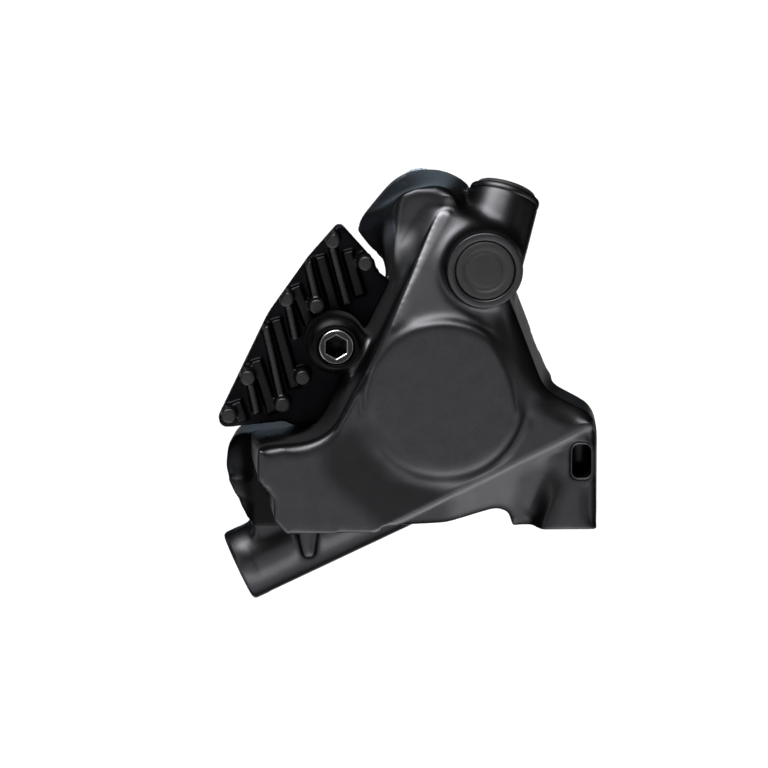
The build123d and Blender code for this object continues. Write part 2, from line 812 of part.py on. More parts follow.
# Pistons, seals and pads, the same on both sides but for the inner fin, whose edges are set in
for side, half, set_in, overhang in (
    (-1, "outboard", 0, pin_overhang),
    (1, "inboard", inner_fin_set_in, 0),
):
    # Cup piston, open towards its pad
    with BuildPart() as piston:
        rim = square_on(piston_x, piston_z, beside(backplate_back, side), side)
        boss(rim, piston_radius, piston_length, piston_edge)
        sink(
            square_on(piston_x, piston_z, beside(backplate_back, side), -side),
            piston_radius - piston_wall,
            piston_length - piston_floor,
        )
    piston.part.label = f"{half}_piston"
    export_step(piston.part, f"parts/{half}_piston.step")

    # Square-section seal in its groove
    with BuildPart() as seal:
        with BuildSketch(pad_plane(beside(seal_near + seal_room, side))):
            Circle(groove_radius - seal_room)
            Circle(piston_radius + seal_fit, mode=Mode.SUBTRACT)
        extrude(amount=-side * seal_width)
    seal.part.label = f"{half}_piston_seal"
    export_step(seal.part, f"parts/{half}_piston_seal.step")

    # Backplate with its tab for the axle
    with BuildPart() as backplate:
        with BuildSketch(pad_plane(beside(lining_back, side))):
            with Locations((0, backplate_depth / 2 - backplate_low)):
                RectangleRounded(backplate_length, backplate_depth, backplate_corner)
            with Locations((0, tab_reach / 2)):
                RectangleRounded(tab_length, tab_reach, tab_corner)
            with Locations((axle_along, axle_out)):
                Circle(axle_hole_radius, mode=Mode.SUBTRACT)
        extrude(amount=-side * backplate_thickness)
    backplate.part.label = f"{half}_backplate"
    export_step(backplate.part, f"parts/{half}_backplate.step")

    # Friction lining with its wear groove
    with BuildPart() as lining:
        with BuildSketch(pad_plane(beside(lining_face, side))):
            RectangleRounded(lining_length, lining_depth, lining_corner)
        extrude(amount=-side * lining_thickness)
        with BuildSketch(pad_plane(beside(lining_face, side))):
            Rectangle(lining_groove, lining_depth)
        extrude(amount=-side * lining_groove_depth, mode=Mode.SUBTRACT)
    lining.part.label = f"{half}_lining"
    export_step(lining.part, f"parts/{half}_lining.step")

    # Cooling fin with its ribs and pins
    with BuildPart() as fin:
        with BuildSketch(pad_plane(beside(backplate_back, side))):
            fin_face()
            fin_face(set_in=set_in, mode=Mode.INTERSECT)
            with Locations((axle_along, axle_out)):
                Circle(axle_hole_radius, mode=Mode.SUBTRACT)
        extrude(amount=-side * fin_thickness)
        for shares, width, height, lug_clear in (
            (rib_shares, rib_width, rib_height, lug_radius + fin_lug_room),
            (low_rib_shares, low_rib_width, low_rib_height, axle_hole_radius),
        ):
            with BuildSketch(pad_plane(beside(fin_back, side))):
                for ends in shares:
                    with BuildLine():
                        Line(*fin_spots(ends))
                    trace(line_width=width)
                fin_face(mode=Mode.INTERSECT)
                fin_face(set_in=set_in, mode=Mode.INTERSECT)
                with Locations((axle_along, axle_out)):
                    Circle(lug_clear, mode=Mode.SUBTRACT)
            extrude(amount=-side * height)
        with BuildSketch(pad_plane(beside(fin_back, side))):
            with Locations(*fin_spots(pin_shares)):
                Circle(pin_radius)
            fin_face(room=overhang, mode=Mode.INTERSECT)
            fin_face(room=overhang, set_in=set_in, mode=Mode.INTERSECT)
            with Locations((axle_along, axle_out)):
                Circle(lug_radius + fin_lug_room, mode=Mode.SUBTRACT)
        extrude(amount=-side * pin_height)
    fin.part.label = f"{half}_fin"
    export_step(fin.part, f"parts/{half}_fin.step")

# Leaf spring between the pads: two forked legs joined by a bridge over their tongues
spring_leg_face = lining_back - spring_seat
spring_half_width = backplate_length / 2 - spring_side_room
with BuildPart() as pad_spring:
    for side in (-1, 1):
        with BuildSketch(pad_plane(beside(spring_leg_face, side))):
            with Locations((0, (spring_bar_low + spring_bar_high) / 2)):
                Rectangle(2 * spring_half_width, spring_bar_high - spring_bar_low)
            with Locations(
                (spring_leg_width / 2 - spring_half_width, (spring_bar_high - spring_leg_low) / 2),
                (spring_half_width - spring_leg_width / 2, (spring_bar_high - spring_leg_low) / 2),
            ):
                Rectangle(spring_leg_width, spring_bar_high + spring_leg_low)
            with Locations((axle_along, (spring_bar_low + spring_top) / 2)):
                Rectangle(spring_tongue, spring_top - spring_bar_low)
            with Locations((axle_along, axle_out)):
                Circle(axle_hole_radius + spring_hole_room, mode=Mode.SUBTRACT)
        extrude(amount=side * spring_thickness)
    with BuildSketch(pad_plane(beside(spring_leg_face, 1))):
        with Locations((axle_along, spring_top - spring_thickness / 2)):
            Rectangle(spring_tongue, spring_thickness)
    extrude(amount=2 * spring_leg_face)
pad_spring.part.label = "pad_spring"
export_step(pad_spring.part, "parts/pad_spring.step")

# Pad axle: threaded head with a hexagon socket, plain shank, and a groove for the snap ring
axle_tip = inner_lug_back + clip_thickness + axle_tail
with BuildPart() as pad_axle:
    thread_back = axle_front + axle_thread_length
    boss(square_on(axle_x, axle_z, thread_back), axle_thread_radius, axle_thread_length, axle_edge)
    boss(square_on(axle_x, axle_z, thread_back, 1), axle_shank_radius, axle_tip - thread_back, axle_edge)
    with BuildSketch(square_on(axle_x, axle_z, inner_lug_back, 1)):
        Circle(axle_shank_radius)
        Circle(axle_shank_radius - clip_groove_depth, mode=Mode.SUBTRACT)
    extrude(amount=clip_thickness, mode=Mode.SUBTRACT)
    hex_socket(square_on(axle_x, axle_z, axle_front), axle_hex, axle_hex_depth, axle_hex_lead)
pad_axle.part.label = "pad_axle"
export_step(pad_axle.part, "parts/pad_axle.step")

# Snap ring on the axle's far end
clip_inner = axle_shank_radius - clip_groove_depth + clip_fit
with BuildPart() as pad_axle_clip:
    with BuildSketch(square_on(axle_x, axle_z, inner_lug_back, 1)):
        Circle(clip_inner + clip_width)
        Circle(clip_inner, mode=Mode.SUBTRACT)
        with Locations((0, (clip_inner + clip_width) / 2)):
            Rectangle(clip_gap_width, clip_inner + clip_width, mode=Mode.SUBTRACT)
    extrude(amount=clip_thickness)
pad_axle_clip.part.label = "pad_axle_clip"
export_step(pad_axle_clip.part, "parts/pad_axle_clip.step")

# Bleed nipple, screwed into the floor of the bleed mouth
with BuildPart() as bleed_nipple:
    boss(bleed_plane.offset(-nipple_floor), nipple_thread_radius, nipple_thread_length)
    boss(bleed_plane.offset(-bleed_mouth_depth), nipple_flange_radius, nipple_flange_height, nipple_edge)
    boss(
        bleed_plane.offset(nipple_flange_height - bleed_mouth_depth),
        nipple_barb_radius - nipple_edge,
        nipple_barb_height,
        nipple_edge,
        nipple_barb_radius,
    )
    sink(bleed_plane, nipple_bore_radius, nipple_floor)
bleed_nipple.part.label = "bleed_nipple"
export_step(bleed_nipple.part, "parts/bleed_nipple.step")

# Rubber cap of the bleed tube
cap_skirt_radius = bleed_mouth_radius - bleed_cap_fit
with BuildPart() as bleed_nipple_cap:
    boss(bleed_plane, bleed_cap_radius, bleed_cap_height + bleed_cap_dome, bleed_cap_dome)
    boss(bleed_plane.offset(-bleed_cap_skirt), cap_skirt_radius, bleed_cap_skirt)
    with Locations(bleed_plane):
        Cylinder(cap_skirt_radius - bleed_cap_wall, bleed_cap_skirt, align=hanging, mode=Mode.SUBTRACT)
bleed_nipple_cap.part.label = "bleed_nipple_cap"
export_step(bleed_nipple_cap.part, "parts/bleed_nipple_cap.step")

# Valve screw: head, neck for its O-ring, stem and conical tip
with BuildPart() as valve_screw:
    head_back = valve_cap_back + valve_head_height
    boss(square_on(valve_x, valve_z, head_back), valve_head_radius, valve_head_height, valve_edge)
    boss(square_on(valve_x, valve_z, valve_stem_back), valve_stem_radius, valve_stem_back - head_back)
    tip_plane = square_on(valve_x, valve_z, valve_stem_back, 1)
    boss(tip_plane, passage_radius - valve_fit, valve_tip_length, root=valve_stem_radius)
    hex_socket(square_on(valve_x, valve_z, valve_cap_back), valve_hex, valve_hex_depth, valve_hex_lead)
valve_screw.part.label = "valve_screw"
export_step(valve_screw.part, "parts/valve_screw.step")

# O-ring on the valve screw's neck
valve_seal_section = (valve_head_bore - valve_stem_radius) / 2 - valve_seal_room
with BuildPart() as valve_screw_seal:
    with Locations(square_on(valve_x, valve_z, valve_neck_back - valve_neck_length / 2)):
        Torus((valve_head_bore + valve_stem_radius) / 2, valve_seal_section)
valve_screw_seal.part.label = "valve_screw_seal"
export_step(valve_screw_seal.part, "parts/valve_screw_seal.step")

# Rubber plug over the valve screw
with BuildPart() as valve_screw_cap:
    cap_plane = square_on(valve_x, valve_z, valve_cap_back)
    boss(cap_plane, valve_cap_radius, valve_cap_back - valve_boss_front, valve_edge)
    skirt_plane = square_on(valve_x, valve_z, valve_cap_back, 1)
    sink(skirt_plane, valve_cap_radius - valve_cap_skirt_wall, valve_cap_skirt)
    sink(square_on(valve_x, valve_z, valve_boss_front), valve_cap_dish_radius, valve_cap_dish)
valve_screw_cap.part.label = "valve_screw_cap"
export_step(valve_screw_cap.part, "parts/valve_screw_cap.step")
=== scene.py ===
"""Looks of a bicycle disc brake caliper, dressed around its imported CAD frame."""

import json
import logging
from collections.abc import Sequence
from dataclasses import dataclass
from enum import Enum
from math import cos, pi, radians, sin

import bmesh
import bpy
import numpy as np
from mathutils import Matrix, Vector

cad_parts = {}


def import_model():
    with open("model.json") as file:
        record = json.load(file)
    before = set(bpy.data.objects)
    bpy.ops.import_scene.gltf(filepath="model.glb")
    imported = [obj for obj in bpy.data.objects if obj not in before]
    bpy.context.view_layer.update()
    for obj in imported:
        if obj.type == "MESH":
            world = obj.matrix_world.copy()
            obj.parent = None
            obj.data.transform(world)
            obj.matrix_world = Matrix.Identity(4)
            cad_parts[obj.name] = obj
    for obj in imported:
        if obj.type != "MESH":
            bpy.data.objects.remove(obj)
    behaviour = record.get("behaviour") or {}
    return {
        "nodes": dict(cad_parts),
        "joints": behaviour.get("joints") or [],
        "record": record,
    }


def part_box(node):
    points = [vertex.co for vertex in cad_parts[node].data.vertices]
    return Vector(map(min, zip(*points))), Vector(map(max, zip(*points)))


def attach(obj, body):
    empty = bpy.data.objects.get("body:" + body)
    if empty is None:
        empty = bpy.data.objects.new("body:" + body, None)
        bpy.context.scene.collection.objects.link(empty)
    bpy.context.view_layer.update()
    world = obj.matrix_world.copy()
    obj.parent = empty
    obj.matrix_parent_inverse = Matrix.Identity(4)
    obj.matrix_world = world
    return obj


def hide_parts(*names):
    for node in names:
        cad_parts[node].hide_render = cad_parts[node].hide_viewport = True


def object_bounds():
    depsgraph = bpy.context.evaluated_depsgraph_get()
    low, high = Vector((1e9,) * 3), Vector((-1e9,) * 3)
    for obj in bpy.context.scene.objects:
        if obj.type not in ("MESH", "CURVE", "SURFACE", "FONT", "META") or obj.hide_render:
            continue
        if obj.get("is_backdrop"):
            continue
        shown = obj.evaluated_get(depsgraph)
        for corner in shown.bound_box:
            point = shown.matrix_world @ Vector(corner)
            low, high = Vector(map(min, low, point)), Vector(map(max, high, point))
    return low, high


LOG = logging.getLogger("caliper")
MM = 0.001
MERGE = 0.001 * MM
PULL = 0.5
PRUNE_EVERY = 20
TINY = 1e-12
SOFT = 80.0
Place = tuple[float, float, float]
Colour = tuple[float, float, float, float]


class Wire:
    """A socket of a node tree, on which sums add Math nodes."""

    def __init__(self, graph: "Graph", socket: bpy.types.NodeSocket) -> None:
        """Keep the tree's builder and the socket."""
        self.graph = graph
        self.socket = socket

    def __add__(self, other: "Wire | float") -> "Wire":
        """Sum."""
        return self.graph.maths("ADD", self, other)

    __radd__ = __add__

    def __sub__(self, other: "Wire | float") -> "Wire":
        """Difference."""
        return self.graph.maths("SUBTRACT", self, other)

    def __rsub__(self, other: float) -> "Wire":
        """Difference from a number."""
        return self.graph.maths("SUBTRACT", other, self)

    def __mul__(self, other: "Wire | float") -> "Wire":
        """Product."""
        return self.graph.maths("MULTIPLY", self, other)

    def __truediv__(self, other: "Wire | float") -> "Wire":
        """Quotient."""
        return self.graph.maths("DIVIDE", self, other)


class Graph:
    """Builder of one node tree, for a material or for Geometry Nodes."""

    def __init__(self, tree: bpy.types.NodeTree) -> None:
        """Keep the tree and empty it."""
        self.tree = tree
        tree.nodes.clear()

    def node(
        self, kind: str, inputs: dict[int | str, object] | None = None, **settings: object
    ) -> bpy.types.Node:
        """Add a node.

        Args:
            kind: The node's type.
            inputs: What its sockets take, by name or number: a wire or a value.
            settings: Its own properties.

        Returns:
            The new node.
        """
        made = self.tree.nodes.new(kind)
        for name, value in settings.items():
            setattr(made, name, value)
        for key, value in (inputs or {}).items():
            if isinstance(value, Wire):
                self.tree.links.new(value.socket, made.inputs[key])
            else:
                made.inputs[key].default_value = value
        return made

    def result(
        self,
        kind: str,
        inputs: dict[int | str, object] | None = None,
        output: int | str = 0,
        **settings: object,
    ) -> Wire:
        """Add a node, as node() does, and return one of its outputs."""
        return Wire(self, self.node(kind, inputs, **settings).outputs[output])

    def maths(self, operation: str, *values: "Wire | float") -> Wire:
        """The result of a Math node."""
        return self.result("ShaderNodeMath", dict(enumerate(values)), operation=operation)

    def place(self) -> Wire:
        """Object coordinates."""
        return self.result("ShaderNodeTexCoord", None, "Object")

    def noise(self, size: float, detail: float = 2.0, stretch: Sequence[float] = (1, 1, 1)) -> Wire:
        """Add a noise over the object's coordinates.

        Args:
            size: Size of its features in metres.
            detail: Octaves.
            stretch: How much longer the features are along each axis.

        Returns:
            Its value, around 0.5.
        """
        scale = tuple(1 / (size * share) for share in stretch)
        mapped = self.result("ShaderNodeMapping", {"Vector": self.place(), "Scale": scale})
        inputs = {"Vector": mapped, "Scale": 1.0, "Detail": detail}
        return self.result("ShaderNodeTexNoise", inputs, "Fac")

    def ramp(self, value: Wire, stops: Sequence[tuple[float, float]]) -> Wire:
        """Pass a value through a ramp of greys.

        Args:
            value: The value.
            stops: Two or more places in rising order, each with its grey.

        Returns:
            The grey at the value.
        """
        made = self.node("ShaderNodeValToRGB", {"Fac": value})
        for _ in stops[2:]:
            made.color_ramp.elements.new(1.0)
        for element, (place, shade) in zip(made.color_ramp.elements, stops):
            element.position = place
            element.color = grey(shade)
        return self.result("ShaderNodeRGBToBW", {0: Wire(self, made.outputs[0])})

    def rise(self, value: Wire, low: float, high: float) -> Wire:
        """0 below low, 1 above high, and a straight rise between."""
        return self.ramp(value, ((low, 0.0), (high, 1.0)))

    def mix(self, factor: "Wire | float", low: object, high: object) -> Wire:
        """Mix two colours; the factor is the share of the second one."""
        return self.result("ShaderNodeMix", {"Factor": factor, 6: low, 7: high}, 2, data_type="RGBA")

    def attribute(self, name: str) -> Wire:
        """A mesh attribute's value."""
        return self.result("ShaderNodeAttribute", None, "Fac", attribute_name=name)

    def bump(self, height: Wire, depth: float) -> Wire:
        """Turn a height into a normal; a height of 1 stands for the depth, in metres."""
        return self.result("ShaderNodeBump", {"Height": height, "Distance": depth, "Strength": 1.0})


def grey(value: float, blue: float = 0.0) -> Colour:
    """A grey in linear light, with a little more blue."""
    return (value, value, value + blue, 1.0)


@dataclass(frozen=True)
class Finish:
    """What a surface is made of; each kind builds its own material."""

    name: str

    def material(self) -> bpy.types.Material:
        """Build the finish's material the first time it is asked for.

        Returns:
            The material.
        """
        ready = bpy.data.materials.get(self.name)
        if ready:
            return ready
        made = bpy.data.materials.new(self.name)
        made.use_nodes = True
        graph = Graph(made.node_tree)
        shader = graph.result("ShaderNodeBsdfPrincipled", self.surface(graph))
        graph.node("ShaderNodeOutputMaterial", {"Surface": shader})
        return made

    def surface(self, graph: Graph) -> dict[str, object]:
        """The shader's inputs; each kind of finish has its own."""
        raise NotImplementedError

    @staticmethod
    def shaded(graph: Graph, skin: Wire, painted_shade: Colour, painted_highlight: Colour) -> Wire:
        """Paint light into a skin: painted shade where the mesh's shade is above 0, and a painted
        highlight below.
        """
        shade = graph.attribute("shade")
        return graph.mix(shade * -1.0, graph.mix(shade, skin, painted_shade), painted_highlight)


@dataclass(frozen=True)
class Anodised(Finish):
    """Cast or forged aluminium, blasted and anodised black."""

    dark: float = 0.013
    light: float = 0.018
    blue: float = 0.001
    rough: float = 0.36
    rough_swing: float = 0.16
    edge: float = 0.35
    # Colours of painted shade and of a painted highlight, mixed in where the mesh's shade asks for them.
    painted_shade: float = 0.001
    painted_light: float = 0.09
    painted_light_blue: float = 0.006
    grain: float = 0.14 * MM
    grain_depth: float = 0.006 * MM
    wave: float = 2.6 * MM
    wave_depth: float = 0.008 * MM
    wave_share: float = 0.3
    contrast: tuple[float, float] = (0.35, 0.65)

    def surface(self, graph: Graph) -> dict[str, object]:
        """A fine grain, a slow waviness, painted shade where the mesh's shade is above 0 and a painted
        highlight where it is below.

        Args:
            graph: The node tree.

        Returns:
            The shader's inputs.
        """
        grain = graph.noise(self.grain, 3.0)
        wave = graph.noise(self.wave, 2.0)
        tone = graph.rise(wave * self.wave_share + grain * (1 - self.wave_share), *self.contrast)
        skin = graph.mix(tone, grey(self.dark, self.blue), grey(self.light, self.blue))
        height = grain * self.grain_depth + wave * self.wave_depth
        return {
            "Base Color": self.shaded(graph, skin, grey(self.painted_shade), grey(self.painted_light, self.painted_light_blue)),
            "Roughness": self.rough + (grain - 0.5) * self.rough_swing,
            "Metallic": 1.0,
            "Specular Tint": grey(self.edge),
            "Normal": graph.bump(height / MM, MM),
        }


@dataclass(frozen=True)
class Painted(Finish):
    """Matte black coat on the pads' fins, with painted shade low between the ribs and painted light on
    their tops.
    """

    # Painted shade deep in the grooves, and painted light on the tops of the ribs and pins.
    groove_shade: float = 0.001
    groove_shade_blue: float = 0.0005
    top: float = 0.014
    rough: float = 0.42
    rough_swing: float = 0.2
    edge: float = 0.3
    height_share: float = 0.9
    cloud: float = 4 * MM
    cloud_swing: float = 0.2
    grain: float = 0.22 * MM
    depth: float = 0.010 * MM

    def surface(self, graph: Graph) -> dict[str, object]:
        """An orange-peel grain, and painted light that rises with the height over the plate: painted
        shade in the grooves, lighter tops.

        Args:
            graph: The node tree.

        Returns:
            The shader's inputs.
        """
        grain = graph.noise(self.grain, 2.0)
        cloud = graph.noise(self.cloud, 2.0)
        painted_light = graph.attribute("height") * self.height_share + (cloud - 0.5) * self.cloud_swing
        return {
            "Base Color": graph.mix(painted_light, grey(self.groove_shade, self.groove_shade_blue), grey(self.top)),
            "Roughness": self.rough + (grain - 0.5) * self.rough_swing,
            "Metallic": 1.0,
            "Specular Tint": grey(self.edge),
            "Normal": graph.bump(grain, self.depth),
        }


@dataclass(frozen=True)
class Rubber(Finish):
    """Moulded rubber with a fine matte skin."""

    colour: float = 0.003
    tones: tuple[float, float] = (0.75, 1.35)
    contrast: tuple[float, float] = (0.4, 0.62)
    rough: float = 0.58
    rough_swing: float = 0.15
    gloss: float = 0.12
    cloud: float = 2.2 * MM
    cloud_share: float = 0.3
    grain: float = 0.2 * MM
    depth: float = 0.010 * MM

    def surface(self, graph: Graph) -> dict[str, object]:
        """Speckled tone and a fine bump.

        Args:
            graph: The node tree.

        Returns:
            The shader's inputs.
        """
        speck = graph.noise(self.grain, 3.0)
        cloud = graph.noise(self.cloud, 3.0)
        tone = graph.rise(speck * (1 - self.cloud_share) + cloud * self.cloud_share, *self.contrast)
        low, high = (grey(self.colour * share) for share in self.tones)
        return {
            "Base Color": graph.mix(tone, low, high),
            "Roughness": self.rough + (cloud - 0.5) * self.rough_swing,
            "Specular IOR Level": self.gloss,
            "Normal": graph.bump(speck, self.depth),
        }


@dataclass(frozen=True)
class Steel(Finish):
    """Machined steel, bright or blackened, with fine turning marks."""

    colour: float = 0.5
    tones: tuple[float, float] = (0.82, 1.08)
    rough: float = 0.28
    # Colours of painted shade in the sockets and of a painted highlight on the edges.
    painted_shade: float = 0.002
    painted_light: float = 0.12
    stain: float = 1.6 * MM
    stain_swing: float = 0.1
    mark: float = 0.09 * MM
    mark_swing: float = 0.18
    depth: float = 0.003 * MM

    def surface(self, graph: Graph) -> dict[str, object]:
        """Short scratches, small stains, painted shade in the sockets and a painted highlight on the
        edges.

        Args:
            graph: The node tree.

        Returns:
            The shader's inputs.
        """
        marks = graph.noise(self.mark, 2.0, (6.0, 1.0, 6.0))
        stain = graph.noise(self.stain, 3.0)
        skin = graph.mix(stain, *(grey(self.colour * share) for share in self.tones))
        return {
            "Base Color": self.shaded(graph, skin, grey(self.painted_shade), grey(self.painted_light)),
            "Roughness": self.rough + (marks - 0.5) * self.mark_swing + (stain - 0.5) * self.stain_swing,
            "Metallic": 1.0,
            "Normal": graph.bump(marks, self.depth),
        }


@dataclass(frozen=True)
class Friction(Finish):
    """Pressed resin lining with metal flakes."""

    dark: Colour = (0.03, 0.025, 0.02, 1.0)
    colour: Colour = (0.060, 0.046, 0.036, 1.0)
    flake: Colour = (0.35, 0.27, 0.18, 1.0)
    flake_metal: float = 0.8
    flake_gloss: float = 0.45
    rough: float = 0.85
    grain: float = 0.45 * MM
    depth: float = 0.05 * MM

    def surface(self, graph: Graph) -> dict[str, object]:
        """Flakes scattered in a rough, porous ground.

        Args:
            graph: The node tree.

        Returns:
            The shader's inputs.
        """
        scatter = {"Vector": graph.place(), "Scale": 1 / self.grain}
        near = graph.result("ShaderNodeTexVoronoi", scatter, "Distance")
        flakes = graph.ramp(near, ((0.0, 1.0), (0.16, 1.0), (0.24, 0.0)))
        dust = graph.noise(self.grain / 3, 3.0)
        return {
            "Base Color": graph.mix(flakes, graph.mix(dust, self.dark, self.colour), self.flake),
            "Metallic": flakes * self.flake_metal,
            "Roughness": self.rough - flakes * self.flake_gloss,
            "Normal": graph.bump(dust + near, self.depth),
        }


@dataclass(frozen=True)
class Ceramic(Finish):
    """Ground ceramic of the pistons."""

    dark: Colour = (0.45, 0.42, 0.36, 1.0)
    colour: Colour = (0.62, 0.59, 0.52, 1.0)
    contrast: tuple[float, float] = (0.3, 0.5)
    rough: float = 0.25
    rough_swing: float = 0.2
    speck: float = 0.3 * MM
    depth: float = 0.004 * MM

    def surface(self, graph: Graph) -> dict[str, object]:
        """Faint specks in a smooth, slightly glossy ground.

        Args:
            graph: The node tree.

        Returns:
            The shader's inputs.
        """
        speck = graph.noise(self.speck, 3.0)
        return {
            "Base Color": graph.mix(graph.rise(speck, *self.contrast), self.dark, self.colour),
            "Roughness": self.rough + (speck - 0.5) * self.rough_swing,
            "Normal": graph.bump(speck, self.depth),
        }


class Material(Enum):
    """The finishes, each with the record's slot that it belongs to."""

    BODY = ("body", Anodised("anodised_casting"))
    RIM = ("body", Anodised("anodised_rim", light=0.020, rough=0.40, wave_depth=0.0))
    FIN = ("fin", Painted("fin_black"))
    CAP = ("cap_rubber", Rubber("moulded_rubber"))
    SEAL = ("seal_rubber", Rubber("ring_rubber", colour=0.004, rough=0.35))
    DARK_STEEL = ("dark_steel", Steel("black_steel", colour=0.010, rough=0.27))
    SPRING = ("spring_steel", Steel("bright_steel", colour=0.55, rough=0.26))
    PLATE = ("backplate", Steel("plate_steel", colour=0.16, rough=0.42))
    NIPPLE = ("nipple", Steel("nipple_metal", colour=0.6, rough=0.3))
    LINING = ("lining", Friction("friction_lining"))
    PISTON = ("piston", Ceramic("piston_ceramic"))

    @property
    def slot(self) -> str:
        """The record's material slot."""
        return self.value[0]

    @property
    def finish(self) -> Finish:
        """The finish."""
        return self.value[1]


@dataclass
class Frame:
    """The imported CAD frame: its nodes, joints and mounts by name."""

    nodes: dict[str, bpy.types.Object]
    joints: dict[str, dict]
    mounts: dict[str, dict]

    @classmethod
    def load(cls) -> "Frame":
        """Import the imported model.

        Returns:
            The frame.
        """
        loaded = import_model()
        joints = {row["name"]: row for row in loaded["joints"]}
        mounts = {row["name"]: row for row in loaded["record"]["mounts"]}
        return cls(loaded["nodes"], joints, mounts)


@dataclass
class Part:
    """A piece, or a few that belong together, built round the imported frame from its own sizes."""

    frame: Frame

    def build(self) -> None:
        """Make the pieces and add them to the scene."""
        raise NotImplementedError


def add_object(name: str, data: bpy.types.ID) -> bpy.types.Object:
    """Put an object into the scene, at the origin.

    Args:
        name: Its name.
        data: Its mesh, curve, lamp or camera.

    Returns:
        The object.
    """
    made = bpy.data.objects.new(name, data)
    bpy.context.scene.collection.objects.link(made)
    return made


def add_piece(
    name: str, mesh: bpy.types.Mesh, look: Material, replaced: Sequence[str] = (), body: str = "caliper"
) -> None:
    """Add a piece with its finish, its body and the nodes that it stands for.

    Args:
        name: The piece's name.
        mesh: Its mesh, in the frame's coordinates.
        look: Its material.
        replaced: CAD nodes that it replaces.
        body: CAD body that it moves with.
    """
    piece = add_object(name, mesh)
    if not mesh.materials:
        mesh.materials.append(look.finish.material())
    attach(piece, body)
    if replaced:
        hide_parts(*replaced)
    LOG.info("%s: %d faces, on %s", name, len(mesh.polygons), body)


def applied(piece: bpy.types.Object, name: str) -> bpy.types.Mesh:
    """Turn an object with its modifiers into a plain mesh, and remove the object.

    Args:
        piece: The object.
        name: Name of the mesh.

    Returns:
        The mesh.
    """
    graph = bpy.context.evaluated_depsgraph_get()
    mesh = bpy.data.meshes.new_from_object(piece.evaluated_get(graph))
    mesh.name = name
    bpy.data.objects.remove(piece)
    return mesh


def remeshed(node: bpy.types.Object, voxel: float) -> bpy.types.Mesh:
    """Rebuild a CAD node's mesh of even quads, its loose triangles joined first.

    Args:
        node: The node, which stays as it is.
        voxel: Size of the grid in metres.

    Returns:
        The new mesh.
    """
    work = bmesh.new()
    work.from_mesh(node.data)
    bmesh.ops.remove_doubles(work, verts=work.verts, dist=MERGE)
    copy = bpy.data.meshes.new(node.name + "_copy")
    work.to_mesh(copy)
    work.free()
    holder = add_object("voxel_holder", copy)
    modifier = holder.modifiers.new("voxels", "REMESH")
    modifier.mode = "VOXEL"
    modifier.voxel_size = voxel
    modifier.adaptivity = 0.0
    return applied(holder, copy.name + "_voxels")


def points_of(mesh: bpy.types.Mesh) -> np.ndarray:
    """Read a mesh's points.

    Args:
        mesh: The mesh.

    Returns:
        One row for each point.
    """
    flat = np.empty(len(mesh.vertices) * 3)
    mesh.vertices.foreach_get("co", flat)
    return flat.reshape(-1, 3)


def paint(mesh: bpy.types.Mesh, name: str, values: Sequence[float]) -> None:
    """Give each point of a mesh a value that its finish reads."""
    mesh.attributes.new(name, "FLOAT", "POINT").data.foreach_set("value", values)


def set_points(mesh: bpy.types.Mesh, points: np.ndarray) -> None:
    """Move the mesh's points."""
    mesh.vertices.foreach_set("co", points.ravel())
    mesh.update()


def relaxed(mesh: bpy.types.Mesh, points: np.ndarray, softness: np.ndarray, passes: int) -> np.ndarray:
    """Smooth points towards their neighbours, each for its own share of the passes.

    Each pass pulls the points by the share PULL. Edges that no longer matter are dropped now and then.

    Args:
        mesh: Mesh that holds the edges.
        points: Its points.
        softness: Share of the passes for each point, from 0 to 1.
        passes: Most passes.

    Returns:
        The moved points.
    """
    edges = np.empty(len(mesh.edges) * 2, dtype=np.int64)
    mesh.edges.foreach_get("vertices", edges)
    first, second = edges.reshape(-1, 2).T
    count = len(points)
    degree = np.bincount(first, minlength=count) + np.bincount(second, minlength=count)
    degree = np.maximum(degree, 1)[:, None]
    moved = points.copy()
    for step in range(passes):
        active = softness * passes > step
        if step % PRUNE_EVERY == 0:
            near = active[first] | active[second]
            first, second = first[near], second[near]
        total = np.empty_like(moved)
        for axis in range(3):
            total[:, axis] = np.bincount(first, weights=moved[second, axis], minlength=count)
            total[:, axis] += np.bincount(second, weights=moved[first, axis], minlength=count)
        moved += active[:, None] * PULL * (total / degree - moved)
    return moved


def smooth_step(low: float, high: float, value: np.ndarray) -> np.ndarray:
    """0 below low, 1 above high, and a smooth rise between."""
    share = np.clip((value - low) / (high - low), 0.0, 1.0)
    return share * share * (3 - 2 * share)


@dataclass
class Spot:
    """A stretch of a casting, in mm, that is rounded, or given painted shade or a painted highlight, in
    its own way.
    """

    start: Place
    end: Place
    reach: float
    share: float

    def nearness(self, points: np.ndarray) -> np.ndarray:
        """How near points are to the stretch.

        Args:
            points: The points, in metres.

        Returns:
            0 beyond the reach, 1 within half of it.
        """
        start, end = np.array(self.start) * MM, np.array(self.end) * MM
        run = end - start
        length = max(run @ run, TINY)
        along = np.clip((points - start) @ run / length, 0.0, 1.0)
        away = np.linalg.norm(points - start - along[:, None] * run, axis=1)
        reach = self.reach * MM
        return 1 - smooth_step(reach / 2, reach, away)

    @classmethod
    def chains(cls, *rows: tuple) -> "list[Spot]":
        """Stretches from corner to corner.

        Args:
            rows: A reach, a share and corners in each, or one corner for a ball.

        Returns:
            The stretches, in order.
        """
        return [
            cls(start, end, reach, share)
            for reach, share, *corners in rows
            for start, end in zip(corners, corners[1:] or corners)
        ]


